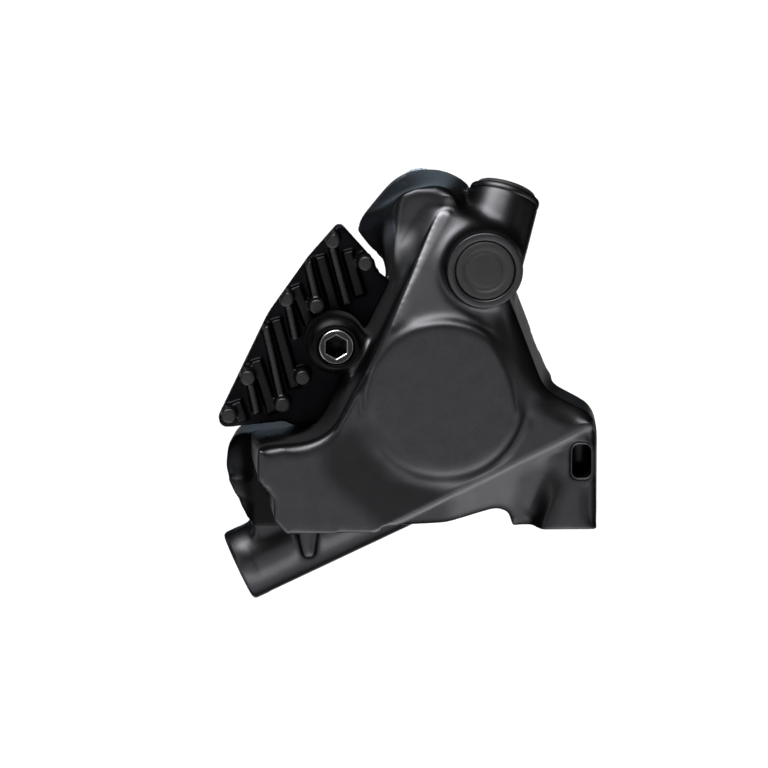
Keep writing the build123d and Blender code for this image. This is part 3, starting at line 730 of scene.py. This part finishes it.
@dataclass
class Casting(Part):
    """One half of the casting, remeshed and rounded as cast metal is."""

    name: str
    node: str
    spots: list[Spot]
    shades: list[Spot]
    voxel: float = 0.32 * MM
    passes: int = 400
    common: float = 0.05
    flat: float = 0.008
    seam: float = 14.0 * MM
    seam_band: tuple[float, float] = (0.4 * MM, 0.9 * MM)
    foot_band: tuple[float, float] = (0.3 * MM, 0.7 * MM)

    def softness(self, points: np.ndarray) -> np.ndarray:
        """Softness of points: least at the seam and on the mounting face.

        Args:
            points: The points, in metres.

        Returns:
            Each one's share of the smoothing passes.
        """
        share = np.full(len(points), self.common)
        for spot in self.spots:
            share += spot.nearness(points) * (spot.share - share)
        seam = 1 - smooth_step(*self.seam_band, np.abs(points[:, 1] - self.seam))
        foot = 1 - smooth_step(*self.foot_band, np.abs(points[:, 2]))
        return share + np.maximum(seam, foot) * (self.flat - share)

    def build(self) -> None:
        """Make the half."""
        mesh = remeshed(self.frame.nodes[self.node], self.voxel)
        points = points_of(mesh)
        # Painted light in the colour: painted shade where a spot's share is above 0, a painted highlight
        # below it.
        shade = np.zeros(len(points))
        for spot in self.shades:
            shade += spot.nearness(points) * (spot.share - shade)
        paint(mesh, "shade", shade)
        set_points(mesh, relaxed(mesh, points, self.softness(points), self.passes))
        mesh.shade_smooth()
        add_piece(self.name, mesh, Material.BODY, (self.node,))


@dataclass
class Fin(Part):
    """A pad's cooling fin, remeshed finely, with rounded ribs and pins, painted light on their tops and
    painted shade between them.
    """

    half: str
    voxel: float = 0.18 * MM
    passes: int = 3
    # Painted light: tones of the fin's colour by height, dark low in the grooves and light on the tops.
    levels: tuple[float, ...] = (0.38, 0.50, 0.56, 0.72, 0.76)
    tones: tuple[float, ...] = (0.12, 0.36, 0.40, 0.85, 1.0)

    def build(self) -> None:
        """Make the fin."""
        node = f"{self.half}_fin"
        mesh = remeshed(self.frame.nodes[node], self.voxel)
        points = points_of(mesh)
        set_points(mesh, relaxed(mesh, points, np.ones(len(points)), self.passes))
        mesh.shade_smooth()
        # The height over the plate sets the painted shade in the grooves and the painted light on the
        # tops.
        depths = points_of(mesh)[:, 1]
        height = (depths - depths.min()) / (depths.max() - depths.min())
        if self.half == "outboard":
            height = 1 - height
        paint(mesh, "height", np.interp(height, self.levels, self.tones))
        add_piece(node + "_ribs", mesh, Material.FIN, (node,), f"{self.half}_pad")


@dataclass
class Seat:
    """Where a turned piece sits: the middle of its outer face, and its outward axis."""

    origin: Vector
    axis: Vector

    def matrix(self) -> Matrix:
        """From the piece's own coordinates, with z outward, to the frame's."""
        turn = self.axis.normalized().to_track_quat("Z", "Y").to_matrix().to_4x4()
        return Matrix.Translation(self.origin) @ turn


@dataclass
class Turned:
    """A piece turned on a lathe, with a hexagon where a ring of its profile asks for one.

    Each ring of the profile has a radius and a height in mm, and may have a share of hexagon and one of
    painted light: painted shade above 0, a painted highlight below 0. The profile runs from the inner
    face round to the outer one. A ring-shaped piece has a closed one.
    """

    name: str
    profile: Sequence[tuple[float, ...]]
    closed: bool = False
    segments: int = 96
    sharp: float = 38.0

    def ring(self, radius: float, height: float, hexagon: float = 0.0) -> list[Vector]:
        """One ring of points.

        Args:
            radius: Its radius in mm, or half of a hexagon's width across flats.
            height: Its height in mm.
            hexagon: 0 for a circle, 1 for a hexagon.

        Returns:
            The points, in metres.
        """
        points = []
        for index in range(self.segments):
            turn = 2 * pi * index / self.segments
            corner = (turn + pi / 6) % (pi / 3) - pi / 6
            reach = radius * MM * (1 + hexagon * (1 / cos(corner) - 1))
            points.append(Vector((reach * cos(turn), reach * sin(turn), height * MM)))
        return points

    def mesh(self, seat: Seat | None = None) -> bpy.types.Mesh:
        """Spin the profile.

        Args:
            seat: Where the piece goes; none leaves it on its own axis.

        Returns:
            The mesh, with its painted light and shade.
        """
        work = bmesh.new()
        rings = [[work.verts.new(point) for point in self.ring(*row[:3])] for row in self.profile]
        # Each ring's painted shade or painted highlight goes to every point of that ring.
        tones = [row[3] if len(row) > 3 else 0.0 for row in self.profile]
        shades = list(np.repeat(tones, self.segments))
        pairs = list(zip(rings, rings[1:]))
        if self.closed:
            pairs.append((rings[-1], rings[0]))
        for near, far in pairs:
            for index in range(self.segments):
                after = (index + 1) % self.segments
                work.faces.new((near[index], near[after], far[after], far[index]))
        if not self.closed:
            for end in (0, -1):
                pole = work.verts.new((0, 0, self.profile[end][1] * MM))
                shades.append(tones[end])
                for index in range(self.segments):
                    work.faces.new((rings[end][index], rings[end][(index + 1) % self.segments], pole))
        bmesh.ops.recalc_face_normals(work, faces=work.faces)
        made = bpy.data.meshes.new(self.name)
        work.to_mesh(made)
        work.free()
        paint(made, "shade", shades)
        made.shade_smooth()
        made.set_sharp_from_angle(angle=radians(self.sharp))
        if seat:
            made.transform(seat.matrix())
        return made

    def place(self, seat: Seat, look: Material, *replaced: str, body: str = "caliper") -> None:
        """Add the piece on its seat, in place of some CAD nodes."""
        add_piece(self.name, self.mesh(seat), look, replaced, body)


@dataclass
class Repeat:
    """Copies of one element round an axis or along it, made by Geometry Nodes."""

    name: str
    count: int
    turn: float = 0.0
    step: float = 0.0

    @staticmethod
    def tree() -> bpy.types.NodeTree:
        """Build the node group the first time it is asked for.

        Returns:
            The group.
        """
        ready = bpy.data.node_groups.get("repeat_along_axis")
        if ready:
            return ready
        made = bpy.data.node_groups.new("repeat_along_axis", "GeometryNodeTree")
        sockets = {"Element": "Geometry", "Count": "Int", "Turn": "Float", "Step": "Float"}
        sockets["Finish"] = "Material"
        for name, kind in sockets.items():
            made.interface.new_socket(name, in_out="INPUT", socket_type=f"NodeSocket{kind}")
        made.interface.new_socket("Copies", in_out="OUTPUT", socket_type="NodeSocketGeometry")
        graph = Graph(made)
        group = graph.node("NodeGroupInput")
        given = {name: Wire(graph, group.outputs[name]) for name in sockets}
        index = graph.result("GeometryNodeInputIndex")
        rise = graph.result("ShaderNodeCombineXYZ", {"Z": index * given["Step"]})
        turn = graph.result("ShaderNodeCombineXYZ", {"Z": index * given["Turn"]})
        points = graph.result("GeometryNodePoints", {"Count": given["Count"]})
        placed = graph.result("GeometryNodeSetPosition", {"Geometry": points, "Position": rise})
        inputs = {"Points": placed, "Instance": given["Element"], "Rotation": turn}
        copies = graph.result("GeometryNodeInstanceOnPoints", inputs)
        real = graph.result("GeometryNodeRealizeInstances", {"Geometry": copies})
        dressed = graph.result("GeometryNodeSetMaterial", {"Geometry": real, "Material": given["Finish"]})
        graph.node("NodeGroupOutput", {0: dressed})
        return made

    def place(self, seat: Seat, look: Material, element: bpy.types.Mesh) -> None:
        """Add the row of copies to the caliper, as one piece.

        Args:
            seat: Where the row starts, and its axis.
            look: Material of the copies.
            element: Mesh of one copy, on its own axis.
        """
        holder = add_object(self.name + "_holder", element)
        modifier = holder.modifiers.new("repeat", "NODES")
        modifier.node_group = self.tree()
        finish = look.finish.material()
        values = {"Count": self.count, "Turn": self.turn, "Step": self.step, "Finish": finish}
        for item in modifier.node_group.interface.items_tree:
            if item.name in values:
                modifier[item.identifier] = values[item.name]
        made = applied(holder, self.name)
        made.transform(seat.matrix())
        add_piece(self.name, made, look)


@dataclass
class Thread:
    """The ridges of a screw thread, as rings along its axis."""

    name: str
    root: float
    crest: float
    pitch: float
    turns: int
    ridge_share: float = 0.42
    flat_share: float = 0.15
    segments: int = 48

    def place(self, seat: Seat, look: Material) -> None:
        """Add the ridges to the caliper.

        Args:
            seat: Where the first one lies.
            look: Their material.
        """
        half = self.pitch * self.ridge_share
        flat = half * self.flat_share
        profile = ((self.root, -half), (self.crest, -flat), (self.crest, flat), (self.root, half))
        ridge = Turned(self.name + "_ridge", profile, closed=True, segments=self.segments)
        row = Repeat(self.name, self.turns, step=-self.pitch * MM)
        row.place(seat, look, ridge.mesh())


@dataclass
class Axle(Part):
    """The pad axle: threaded head with a hexagon socket, shank and snap ring groove."""

    radius: float = 2.45
    core: float = 2.28
    shank: float = 1.75
    groove: float = 1.45
    length: float = 34.9
    thread: float = 6.0
    half_hexagon: float = 1.5
    lead: float = 0.08
    rim: float = 0.10
    line: float = 0.02
    blend: float = 0.05
    socket: float = 2.4
    chamfer: float = 0.3
    groove_span: tuple[float, float] = (0.9, 1.6)
    head: float = 0.9
    first_turn: float = 1.3
    pitch: float = 0.5
    turns: int = 9

    def build(self) -> None:
        """Make the axle and its thread."""
        low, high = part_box("pad_axle")
        middle = (low + high) / 2
        seat = Seat(Vector((middle.x, low.y, middle.z)), Vector((0, -1, 0)))
        end = -self.length
        low_edge, high_edge = (end + edge for edge in self.groove_span)
        mouth = self.half_hexagon + self.lead
        # The fourth column paints light: a painted highlight (-1) on the rim and the socket's mouth,
        # painted shade (1) inside the socket.
        profile = (
            (self.shank - self.chamfer, end), (self.shank, end + self.chamfer),
            (self.shank, low_edge), (self.groove, low_edge), (self.groove, high_edge),
            (self.shank, high_edge), (self.shank, -self.thread - 0.2),
            (self.core, -self.thread), (self.core, -self.head - 0.1), (self.radius, -self.head),
            (self.radius, -self.rim, 0.0, -1.0), (self.radius - self.rim, 0.0, 0.0, -1.0),
            (self.radius - self.rim - self.blend, 0.0, 0.0, 0.0),
            (mouth + self.line + self.blend, 0.0, 1.0, 0.0), (mouth + self.line, 0.0, 1.0, -1.0),
            (self.half_hexagon, -self.lead, 1.0, -1.0),
            (self.half_hexagon, -self.lead - 0.1, 1.0, 1.0),
            (self.half_hexagon, -self.socket, 1.0, 1.0), (0.7, -self.socket - 0.35, 0.0, 1.0),
        )
        Turned("pad_axle_turned", profile).place(seat, Material.DARK_STEEL, "pad_axle")
        first = Seat(seat.origin + Vector((0, self.first_turn * MM, 0)), seat.axis)
        thread = Thread("axle_thread", self.core - 0.02, self.radius, self.pitch, self.turns)
        thread.place(first, Material.DARK_STEEL)


@dataclass
class ValveCap(Part):
    """The rubber plug over the valve screw, and the turned rim of the boss round it."""

    radius: float = 4.2
    boss: float = 5.4
    bore: float = 4.3

    def build(self) -> None:
        """Make the plug and the rim."""
        turn = self.frame.joints["valve_screw_turn"]["pos_m"]
        seat = Seat(Vector((turn[0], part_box("valve_screw_cap")[0].y, turn[2])), Vector((0, -1, 0)))
        plug = (
            (3.0, -1.6), (3.4, -1.7), (3.4, -2.6), (self.radius, -2.6), (self.radius, -0.30),
            (self.radius - 0.08, -0.10), (self.radius - 0.24, -0.02), (self.radius - 0.5, 0.0),
            (3.40, 0.0), (3.22, -0.03), (3.05, -0.12), (2.92, -0.20), (2.74, -0.24),
            (2.56, -0.21), (2.40, -0.14), (2.20, -0.09), (1.60, -0.07), (0.60, -0.06),
        )
        made = Turned("valve_plug", plug, sharp=SOFT)
        made.place(seat, Material.CAP, "valve_screw_cap", body="valve_cap")
        rim = (
            (self.bore, -2.8), (self.bore, -0.20), (self.bore + 0.06, -0.05),
            (self.bore + 0.14, 0.0), (self.boss - 0.16, 0.0), (self.boss - 0.04, -0.06),
            (self.boss, -0.18), (self.boss, -2.6), (self.boss - 0.1, -2.8),
        )
        Turned("valve_boss_rim", rim, closed=True, sharp=SOFT).place(seat, Material.RIM)


@dataclass
class BleedCap(Part):
    """The rubber cap on the bleed tube, and the tube's turned end."""

    end: Place = (9.9, 7.5, 46.7)
    tube: float = 5.1
    mouth: float = 3.4

    def build(self) -> None:
        """Make the cap and the tube's end."""
        seat = Seat(Vector(self.end) * MM, Vector(self.frame.joints["bleed_cap_pull"]["axis"]))
        cap = (
            (2.0, -0.5), (2.4, -0.6), (2.4, -2.2), (3.25, -2.2), (3.30, -2.0), (3.30, 0.02),
            (4.20, 0.02), (4.30, 0.10), (4.30, 0.40), (4.20, 0.62), (3.98, 0.75), (3.70, 0.78),
            (3.20, 0.75), (2.90, 0.66), (1.20, 0.62),
        )
        made = Turned("bleed_plug", cap, sharp=SOFT)
        made.place(seat, Material.CAP, "bleed_nipple_cap", body="bleed_cap")
        end = (
            (self.mouth, -1.0), (self.mouth, -0.15), (self.mouth + 0.15, 0.0),
            (self.tube - 0.34, 0.0), (self.tube - 0.10, -0.08), (self.tube, -0.30),
            (self.tube, -0.8), (self.tube - 0.1, -1.0),
        )
        Turned("bleed_tube_end", end, closed=True, sharp=SOFT).place(seat, Material.BODY)


@dataclass
class HosePort(Part):
    """The turned end of the hose tube, with its thread."""

    tube: float = 5.25
    chamfer: float = 0.54
    thread: float = 4.0
    depth: float = 0.34
    first_turn: float = 0.9
    pitch: float = 0.75
    turns: int = 12

    def build(self) -> None:
        """Make the tube's end and the thread."""
        port = self.frame.mounts["hose_port"]
        axis = Vector(port["axis"]).normalized()
        half = port["dims"]["length_mm"] * MM / 2
        seat = Seat(Vector(port["pos_m"]) + axis * half, axis)
        end = (
            (self.thread, -3.0), (self.thread, -0.35), (self.thread + 0.3, 0.0),
            (self.tube - self.chamfer, 0.0), (self.tube - 0.17, -0.17),
            (self.tube, -self.chamfer), (self.tube, -2.4), (self.tube - 0.1, -3.0),
        )
        Turned("hose_tube_end", end, closed=True, sharp=SOFT).place(seat, Material.BODY)
        first = Seat(seat.origin - axis * self.first_turn * MM, axis)
        thread = Thread("hose_thread", self.thread, self.thread - self.depth, self.pitch, self.turns)
        thread.place(first, Material.RIM)


@dataclass
class FootThreads(Part):
    """The threads of the two frame screws."""

    pitch: float = 0.8
    depth: float = 0.3
    first_turn: float = 0.9
    turns: int = 9

    def build(self) -> None:
        """Make both threads."""
        mount = self.frame.mounts["frame_bolts"]
        reach = mount["dims"]["spacing_x_mm"] * MM / 2
        radius = mount["dims"]["hole_r_mm"]
        for name, x in (("left", -reach), ("right", reach)):
            seat = Seat(Vector((x, 0, self.first_turn * MM)), Vector((0, 0, -1)))
            thread = Thread(f"foot_thread_{name}", radius, radius - self.depth, self.pitch, self.turns)
            thread.place(seat, Material.RIM)


@dataclass
class SlotRim(Part):
    """The worn edge round the slot of the right foot."""

    x: float = 20.2
    z: float = 9.95
    front: float = -4.93
    width: float = 2.95
    height: float = 5.1
    corner: float = 1.1
    thick: float = 0.13
    steps: int = 8

    def build(self) -> None:
        """Make the rim as a round bead that follows the slot's outline."""
        line = bpy.data.curves.new("slot_line", "CURVE")
        line.dimensions = "3D"
        line.bevel_depth = self.thick * MM
        line.bevel_resolution = 3
        spline = line.splines.new("POLY")
        across, up = self.width / 2 - self.corner, self.height / 2 - self.corner
        points = []
        for quarter, (x, z) in enumerate(((across, up), (-across, up), (-across, -up), (across, -up))):
            for step in range(self.steps + 1):
                turn = (quarter + step / self.steps) * pi / 2
                points.append((x + self.corner * cos(turn), z + self.corner * sin(turn)))
        spline.points.add(len(points) - 1)
        for point, (x, z) in zip(spline.points, points):
            point.co = ((self.x + x) * MM, self.front * MM, (self.z + z) * MM, 1.0)
        spline.use_cyclic_u = True
        mesh = applied(add_object("slot_holder", line), "slot_rim")
        mesh.shade_smooth()
        add_piece("slot_rim", mesh, Material.RIM)


@dataclass
class ClampScrews(Part):
    """The two socket screws that clamp the halves, with knurled heads."""

    head: float = 3.9
    height: float = 4.6
    edge: float = 0.4
    thread: float = 2.45
    half_hexagon: float = 2.0
    socket: float = 2.4
    length: float = 23.6
    knurls: int = 36
    knurl_fill: float = 0.8
    knurl_depth: float = 0.16
    knurl_slope: float = 0.25
    knurl_ends: tuple[float, float] = (0.35, 0.15)

    def build(self) -> None:
        """Make both screws and their knurls."""
        low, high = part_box("body_bolts")
        reach = self.head * MM
        screws = (
            ("lower", low.x + reach, low.z + reach, ["body_bolts"]),
            ("upper", high.x - reach, high.z - reach, []),
        )
        # A fourth column of 1 puts painted shade inside the socket.
        profile = (
            (self.thread - 0.3, -self.length), (self.thread, -self.length + 0.4),
            (self.thread, -self.height), (self.head - 0.25, -self.height),
            (self.head - 0.12, -self.height + 0.2), (self.head - 0.12, -self.edge - 0.1),
            (self.head - 0.16, -self.edge + 0.05), (self.head - 0.45, -0.05),
            (self.head - 0.60, 0.0), (self.half_hexagon + 0.22, 0.0, 1.0),
            (self.half_hexagon, -0.18, 1.0), (self.half_hexagon, -self.socket, 1.0, 1.0),
            (0.9, -self.socket - 0.4, 0.0, 1.0),
        )
        for name, x, z, replaced in screws:
            seat = Seat(Vector((x, high.y, z)), Vector((0, 1, 0)))
            Turned(f"{name}_clamp_screw", profile).place(seat, Material.DARK_STEEL, *replaced)
            row = Repeat(f"{name}_clamp_knurl", self.knurls, turn=2 * pi / self.knurls)
            row.place(seat, Material.DARK_STEEL, self.rib())

    def rib(self) -> bpy.types.Mesh:
        """Make one ridge of the knurl.

        Returns:
            A wedge with sloped ends.
        """
        wide = self.head * sin(pi / self.knurls) * self.knurl_fill
        low, high = -self.height + self.knurl_ends[0], -self.edge - self.knurl_ends[1]
        base = self.head - self.knurl_depth
        corners = [(base, -wide, low), (base, wide, low), (base, wide, high), (base, -wide, high)]
        ridge = [(self.head, 0.0, low + self.knurl_slope), (self.head, 0.0, high - self.knurl_slope)]
        faces = [(0, 1, 4), (1, 2, 5, 4), (2, 3, 5), (3, 0, 4, 5), (3, 2, 1, 0)]
        made = bpy.data.meshes.new("knurl_rib")
        made.from_pydata([Vector(corner) * MM for corner in corners + ridge], [], faces)
        made.update()
        return made


@dataclass
class ValveScrew(Part):
    """The bleed valve's screw, under its plug."""

    head: float = 2.6
    stem: float = 1.7
    half_hexagon: float = 1.25

    def build(self) -> None:
        """Make the screw."""
        turn = self.frame.joints["valve_screw_turn"]["pos_m"]
        low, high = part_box("valve_screw")
        end = (low.y - high.y) / MM
        seat = Seat(Vector((turn[0], low.y, turn[2])), Vector((0, -1, 0)))
        profile = (
            (0.55, end), (self.stem, end + 1.4), (self.stem, -1.9), (self.head - 0.1, -1.9),
            (self.head, -1.8), (self.head, -0.2), (self.head - 0.2, 0.0),
            (self.half_hexagon + 0.16, 0.0, 1.0), (self.half_hexagon, -0.15, 1.0),
            (self.half_hexagon, -1.1, 1.0), (0.5, -1.35),
        )
        made = Turned("valve_screw_turned", profile)
        made.place(seat, Material.DARK_STEEL, "valve_screw", body="valve_screw")


@dataclass
class Studio:
    """Camera, lamps, floor and world, under and round a part with this lowest corner."""

    lowest: Vector
    pixels: float = 768.0
    pixels_per_mm: float = 7.0
    origin_x_px: float = 438.5
    origin_z_px: float = 532.0
    row_depth: float = 6.0 * MM
    elevation: float = 10.0
    azimuth: float = -2.52
    distance: float = 2.5
    sensor: float = 36.0
    floor_drop: float = 0.25
    floor_side: float = 6.0
    floor_white: float = 0.93
    aim: Place = (-0.004, 0.010, 0.020)
    key_toward: Place = (-0.40, -0.25, 0.88)
    key_angle: float = 46.0
    key_strength: float = 3.4

    @staticmethod
    def hang(data: bpy.types.ID, spot: Vector, toward: Vector) -> bpy.types.Object:
        """Put a lamp or the camera up.

        Args:
            data: Its data, with its name.
            spot: Where it goes.
            toward: Direction in which it looks.

        Returns:
            The lamp or camera.
        """
        made = add_object(data.name, data)
        made.location = spot
        made.rotation_mode = "QUATERNION"
        made.rotation_quaternion = toward.to_track_quat("-Z", "Y")
        return made

    def camera(self) -> None:
        """Stand the camera where the photograph was taken from, but so far off that it sees it flat."""
        turn, rise = radians(self.azimuth), radians(self.elevation)
        back = Vector((sin(turn) * cos(rise), -cos(turn) * cos(rise), sin(rise)))
        right = Vector((cos(turn), sin(turn), 0))
        up = back.cross(right)
        scale = self.pixels_per_mm / MM
        across = (self.pixels / 2 - self.origin_x_px) / scale
        above = (self.origin_z_px - self.pixels / 2) / scale
        target = right * across + up * (above - self.row_depth * sin(rise))
        data = bpy.data.cameras.new("camera")
        data.sensor_width = self.sensor
        data.lens = self.sensor * self.distance / (self.pixels / scale)
        data.clip_start, data.clip_end = 0.1, 20.0
        bpy.context.scene.camera = self.hang(data, target + back * self.distance, -back)

    def key_lamp(self) -> None:
        """Add the key, a soft lamp far off that looks some degrees wide."""
        data = bpy.data.lights.new("key", "SUN")
        data.angle = radians(self.key_angle)
        data.energy = self.key_strength
        toward = Vector(self.key_toward)
        self.hang(data, toward, -toward).visible_camera = False

    def box_lamp(
        self, name: str, spot: Place, size: tuple[float, float], watts: float, tint: float = 0.0
    ) -> None:
        """Add a soft box that points at the part.

        Args:
            name: Its name.
            spot: Its middle, in metres.
            size: Its width and height, in metres.
            watts: Its power.
            tint: How much cooler than white it is.
        """
        data = bpy.data.lights.new(name, "AREA")
        data.shape = "RECTANGLE"
        data.size, data.size_y = size
        data.energy = watts
        data.color = (1 - tint, 1 - tint / 2, 1)
        self.hang(data, Vector(spot), Vector(self.aim) - Vector(spot)).visible_camera = False

    def world(self) -> None:
        """A dim grey room, a little lighter overhead."""
        world = bpy.data.worlds.new("room")
        bpy.context.scene.world = world
        world.use_nodes = True
        graph = Graph(world.node_tree)
        coordinates = graph.result("ShaderNodeTexCoord", None, "Generated")
        height = graph.result("ShaderNodeSeparateXYZ", {0: coordinates}, "Z")
        strength = graph.ramp(height * 0.5 + 0.5, ((0.0, 0.04), (0.5, 0.05), (1.0, 0.20)))
        sky = graph.result("ShaderNodeBackground", {"Color": grey(1.0), "Strength": strength})
        graph.node("ShaderNodeOutputWorld", {"Surface": sky})

    def floor(self) -> None:
        """A pale floor well below the part's lowest corner."""
        side = self.floor_side
        height = self.lowest.z - self.floor_drop
        corners = [(-side, -side), (side, -side), (side, side), (-side, side)]
        mesh = bpy.data.meshes.new("floor")
        mesh.from_pydata([(x, y, height) for x, y in corners], [], [(0, 1, 2, 3)])
        floor = add_object("floor", mesh)
        made = bpy.data.materials.new("pale_floor")
        made.use_nodes = True
        graph = Graph(made.node_tree)
        plain = graph.result("ShaderNodeBsdfDiffuse", {"Color": grey(self.floor_white)})
        graph.node("ShaderNodeOutputMaterial", {"Surface": plain})
        mesh.materials.append(made)
        floor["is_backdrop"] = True

    def build(self) -> None:
        """Set the whole studio up."""
        bpy.context.scene.view_settings.view_transform = "Standard"
        self.camera()
        self.world()
        self.floor()
        self.key_lamp()
        for row in BOXES:
            self.box_lamp(*row)


# Soft boxes: name, middle, width and height in metres, watts, and how much cooler than white.
BOXES = (
    ("top_left_box", (-0.26, -0.24, 0.52), (0.30, 0.22), 6.5),
    ("top_box", (0.0, -0.35, 0.50), (0.34, 0.24), 6.2),
    ("zenith_box", (-0.05, -0.12, 0.60), (0.30, 0.22), 4.0),
    ("front_box", (-0.06, -0.70, -0.06), (0.44, 0.34), 1.15),
    ("low_box", (0.02, -0.16, -0.19), (0.34, 0.14), 1.2),
    ("left_box", (-0.48, -0.46, 0.06), (0.12, 0.40), 1.2),
    ("right_box", (0.60, -0.32, -0.05), (0.08, 0.40), 0.7),
    ("back_box", (-0.20, 0.70, 0.24), (0.80, 0.28), 2.2, 0.35),
    ("back_left_box", (-0.55, 0.45, 0.10), (0.40, 0.30), 3.0, 0.25),
)
LUG = (-14.6, -2.6, 26.3)
RIDGE_TOP = (1.6, -0.4, 46.8)
RIDGE_KNEE = (-3.8, -3.9, 37.4)
RIDGE_END = (-10.5, -6.9, 23.8)
CREASE = ((-9.3, -6.15, 0.0), (21.3, -5.1, 14.9))
RIGHT_SIDE = ((15.5, 22.0, 19.0), (22.5, 22.0, 13.0))
BOSS_UNDERSIDE = (
    (-10.5, -7.0, 15.3), (-6.3, -6.8, 9.8), (0.4, -6.6, 7.7), (7.1, -6.6, 9.8), (11.3, -6.8, 15.3),
)
LEFT_EDGE = (
    (-26.2, -7.0, 11.5), (-26.4, -7.0, 8.1), (-24.1, -7.0, 5.1), (-24.2, -7.0, 1.8), (-22.1, -7.0, 0.3),
)
# Rounding: reach in mm, share of the smoothing passes, corners. Later rows lie over earlier ones.
OUTER_SPOTS = Spot.chains(
    (6.5, 0.16, LUG),  # pad lug
    (4.5, 0.50, (9.7, -7.0, 33.0), (14.5, -7.0, 20.0), (22.5, -7.0, 15.5)),  # right flank
    (9.5, 0.25, (6.3, -2.0, 38.1)),  # valve boss
    (3.2, 0.50, (-6.0, -0.5, 35.0), (-1.0, -0.5, 44.6)),  # hollow beside the ridge
    (3.0, 0.16, (-26.0, -7.0, 12.6), (-15.8, -7.0, 13.6)),  # top edge of the left end
    (2.5, 0.16, (-5.9, 0.0, 44.5), (-2.8, 0.0, 48.3), (1.0, 0.0, 47.2)),  # top of the lobe
    (3.5, 0.30, (22.4, -4.9, 0.0), (22.4, -4.9, 14.0)),  # right foot
    (3.6, 0.35, (13.5, -3.0, 4.0), (15.5, -4.0, 8.0)),  # inner side of the foot
    (3.0, 0.15, *BOSS_UNDERSIDE),
    (1.6, 0.015, RIDGE_TOP, RIDGE_KNEE),
    (1.4, 0.025, RIDGE_KNEE, RIDGE_END),
    (1.4, 0.01, *LEFT_EDGE),
    (1.2, 0.008, *CREASE),
    (2.6, 0.006, (20.2, -5.0, 8.5), (20.2, -5.0, 11.4)),  # slot
)
INNER_SPOTS = Spot.chains((4.0, 0.3, (-10.8, 14.0, 40.4), (-10.8, 26.0, 41.4)))
# Painted light: reach in mm, painted shade above 0 or a painted highlight below it, corners.
OUTER_SHADES = Spot.chains(
    # Painted highlights on the side beside the fin, the scoop and the top of the left end.
    (5.5, -0.85, (-6.0, 2.0, 39.0), (-11.0, 1.0, 28.5)),  # side beside the fin
    (5.5, -0.85, (-12.5, -0.5, 21.5), (-16.0, -0.5, 15.8)),  # scoop below the fin
    (5.5, -0.6, (-15.0, 0.0, 14.0), (-26.0, 0.0, 13.0)),  # top of the left end
    # Painted shade on the pad lug, the left end's side and under the fin.
    (6.2, 0.92, LUG),
    (7.0, 0.85, (-27.0, 3.0, 10.5), (-25.0, 3.0, 2.0)),  # side of the left end
    (7.5, 0.9, (-29.0, 11.5, 12.5), (-14.0, 11.5, 14.5)),  # under the fin
    # Painted highlight along the ridge.
    (1.0, -0.28, RIDGE_TOP, RIDGE_KNEE),
    (1.0, -0.2, RIDGE_KNEE, RIDGE_END),
    # Painted shade on the lower left of the face.
    (6.5, 0.55, (-12.0, -6.6, 10.5), (-3.0, -6.2, 2.5)),  # lower left of the face
    # Painted highlight along the crease, then painted shade in the slot and under the foot's arch.
    (0.7, -0.13, *CREASE),
    (4.0, 0.95, (20.2, 0.0, 8.5), (20.2, 0.0, 11.4)),  # inside of the slot
    (4.5, 0.5, (13.0, -3.0, 0.0), (14.5, -4.0, 6.0)),  # arch of the foot
)
# Painted shade on the inboard half's left end, deck and right wall, where they show beside the outboard
# half.
INNER_SHADES = Spot.chains(
    (4.2, 0.85, (-26.0, 14.0, 10.0), (-23.6, 14.0, -3.0)),
    (8.0, 0.85, (-28.5, 19.0, 13.5), (-14.0, 19.0, 15.0)),
    (10.0, 0.9, (12.0, 22.0, 33.0), RIGHT_SIDE[0]),
    (9.0, 0.8, *RIGHT_SIDE),
)
PLAIN_NODES = {
    Material.SPRING: ("pad_axle_clip", "pad_spring"),
    Material.PLATE: ("outboard_backplate", "inboard_backplate"),
    Material.LINING: ("outboard_lining", "inboard_lining"),
    Material.PISTON: ("outboard_piston", "inboard_piston"),
    Material.SEAL: ("outboard_piston_seal", "inboard_piston_seal", "passage_seal", "valve_screw_seal"),
    Material.NIPPLE: ("bleed_nipple",),
}


class PlainNodes(Part):
    """The CAD nodes that stay as they are."""

    def build(self) -> None:
        """Give the nodes their materials."""
        for look, names in PLAIN_NODES.items():
            for name in names:
                node = self.frame.nodes[name]
                node.data.materials.clear()
                node.data.materials.append(look.finish.material())
                LOG.info("%s keeps its solid", name)


def main() -> None:
    """Build every piece in order and set the studio up."""
    logging.basicConfig(level=logging.INFO, format="%(message)s")
    frame = Frame.load()
    cad_low, cad_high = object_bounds()
    small = (Axle, ValveCap, ValveScrew, BleedCap, HosePort, FootThreads, SlotRim, ClampScrews)
    parts = (
        Casting(frame, "outboard_casting", "outboard_body", OUTER_SPOTS, OUTER_SHADES),
        Casting(frame, "inboard_casting", "inboard_body", INNER_SPOTS, INNER_SHADES),
        Fin(frame, "outboard"),
        Fin(frame, "inboard"),
        *(kind(frame) for kind in (*small, PlainNodes)),
    )
    for part in parts:
        part.build()
    Studio(cad_low).build()


if __name__ == "__main__":
    main()
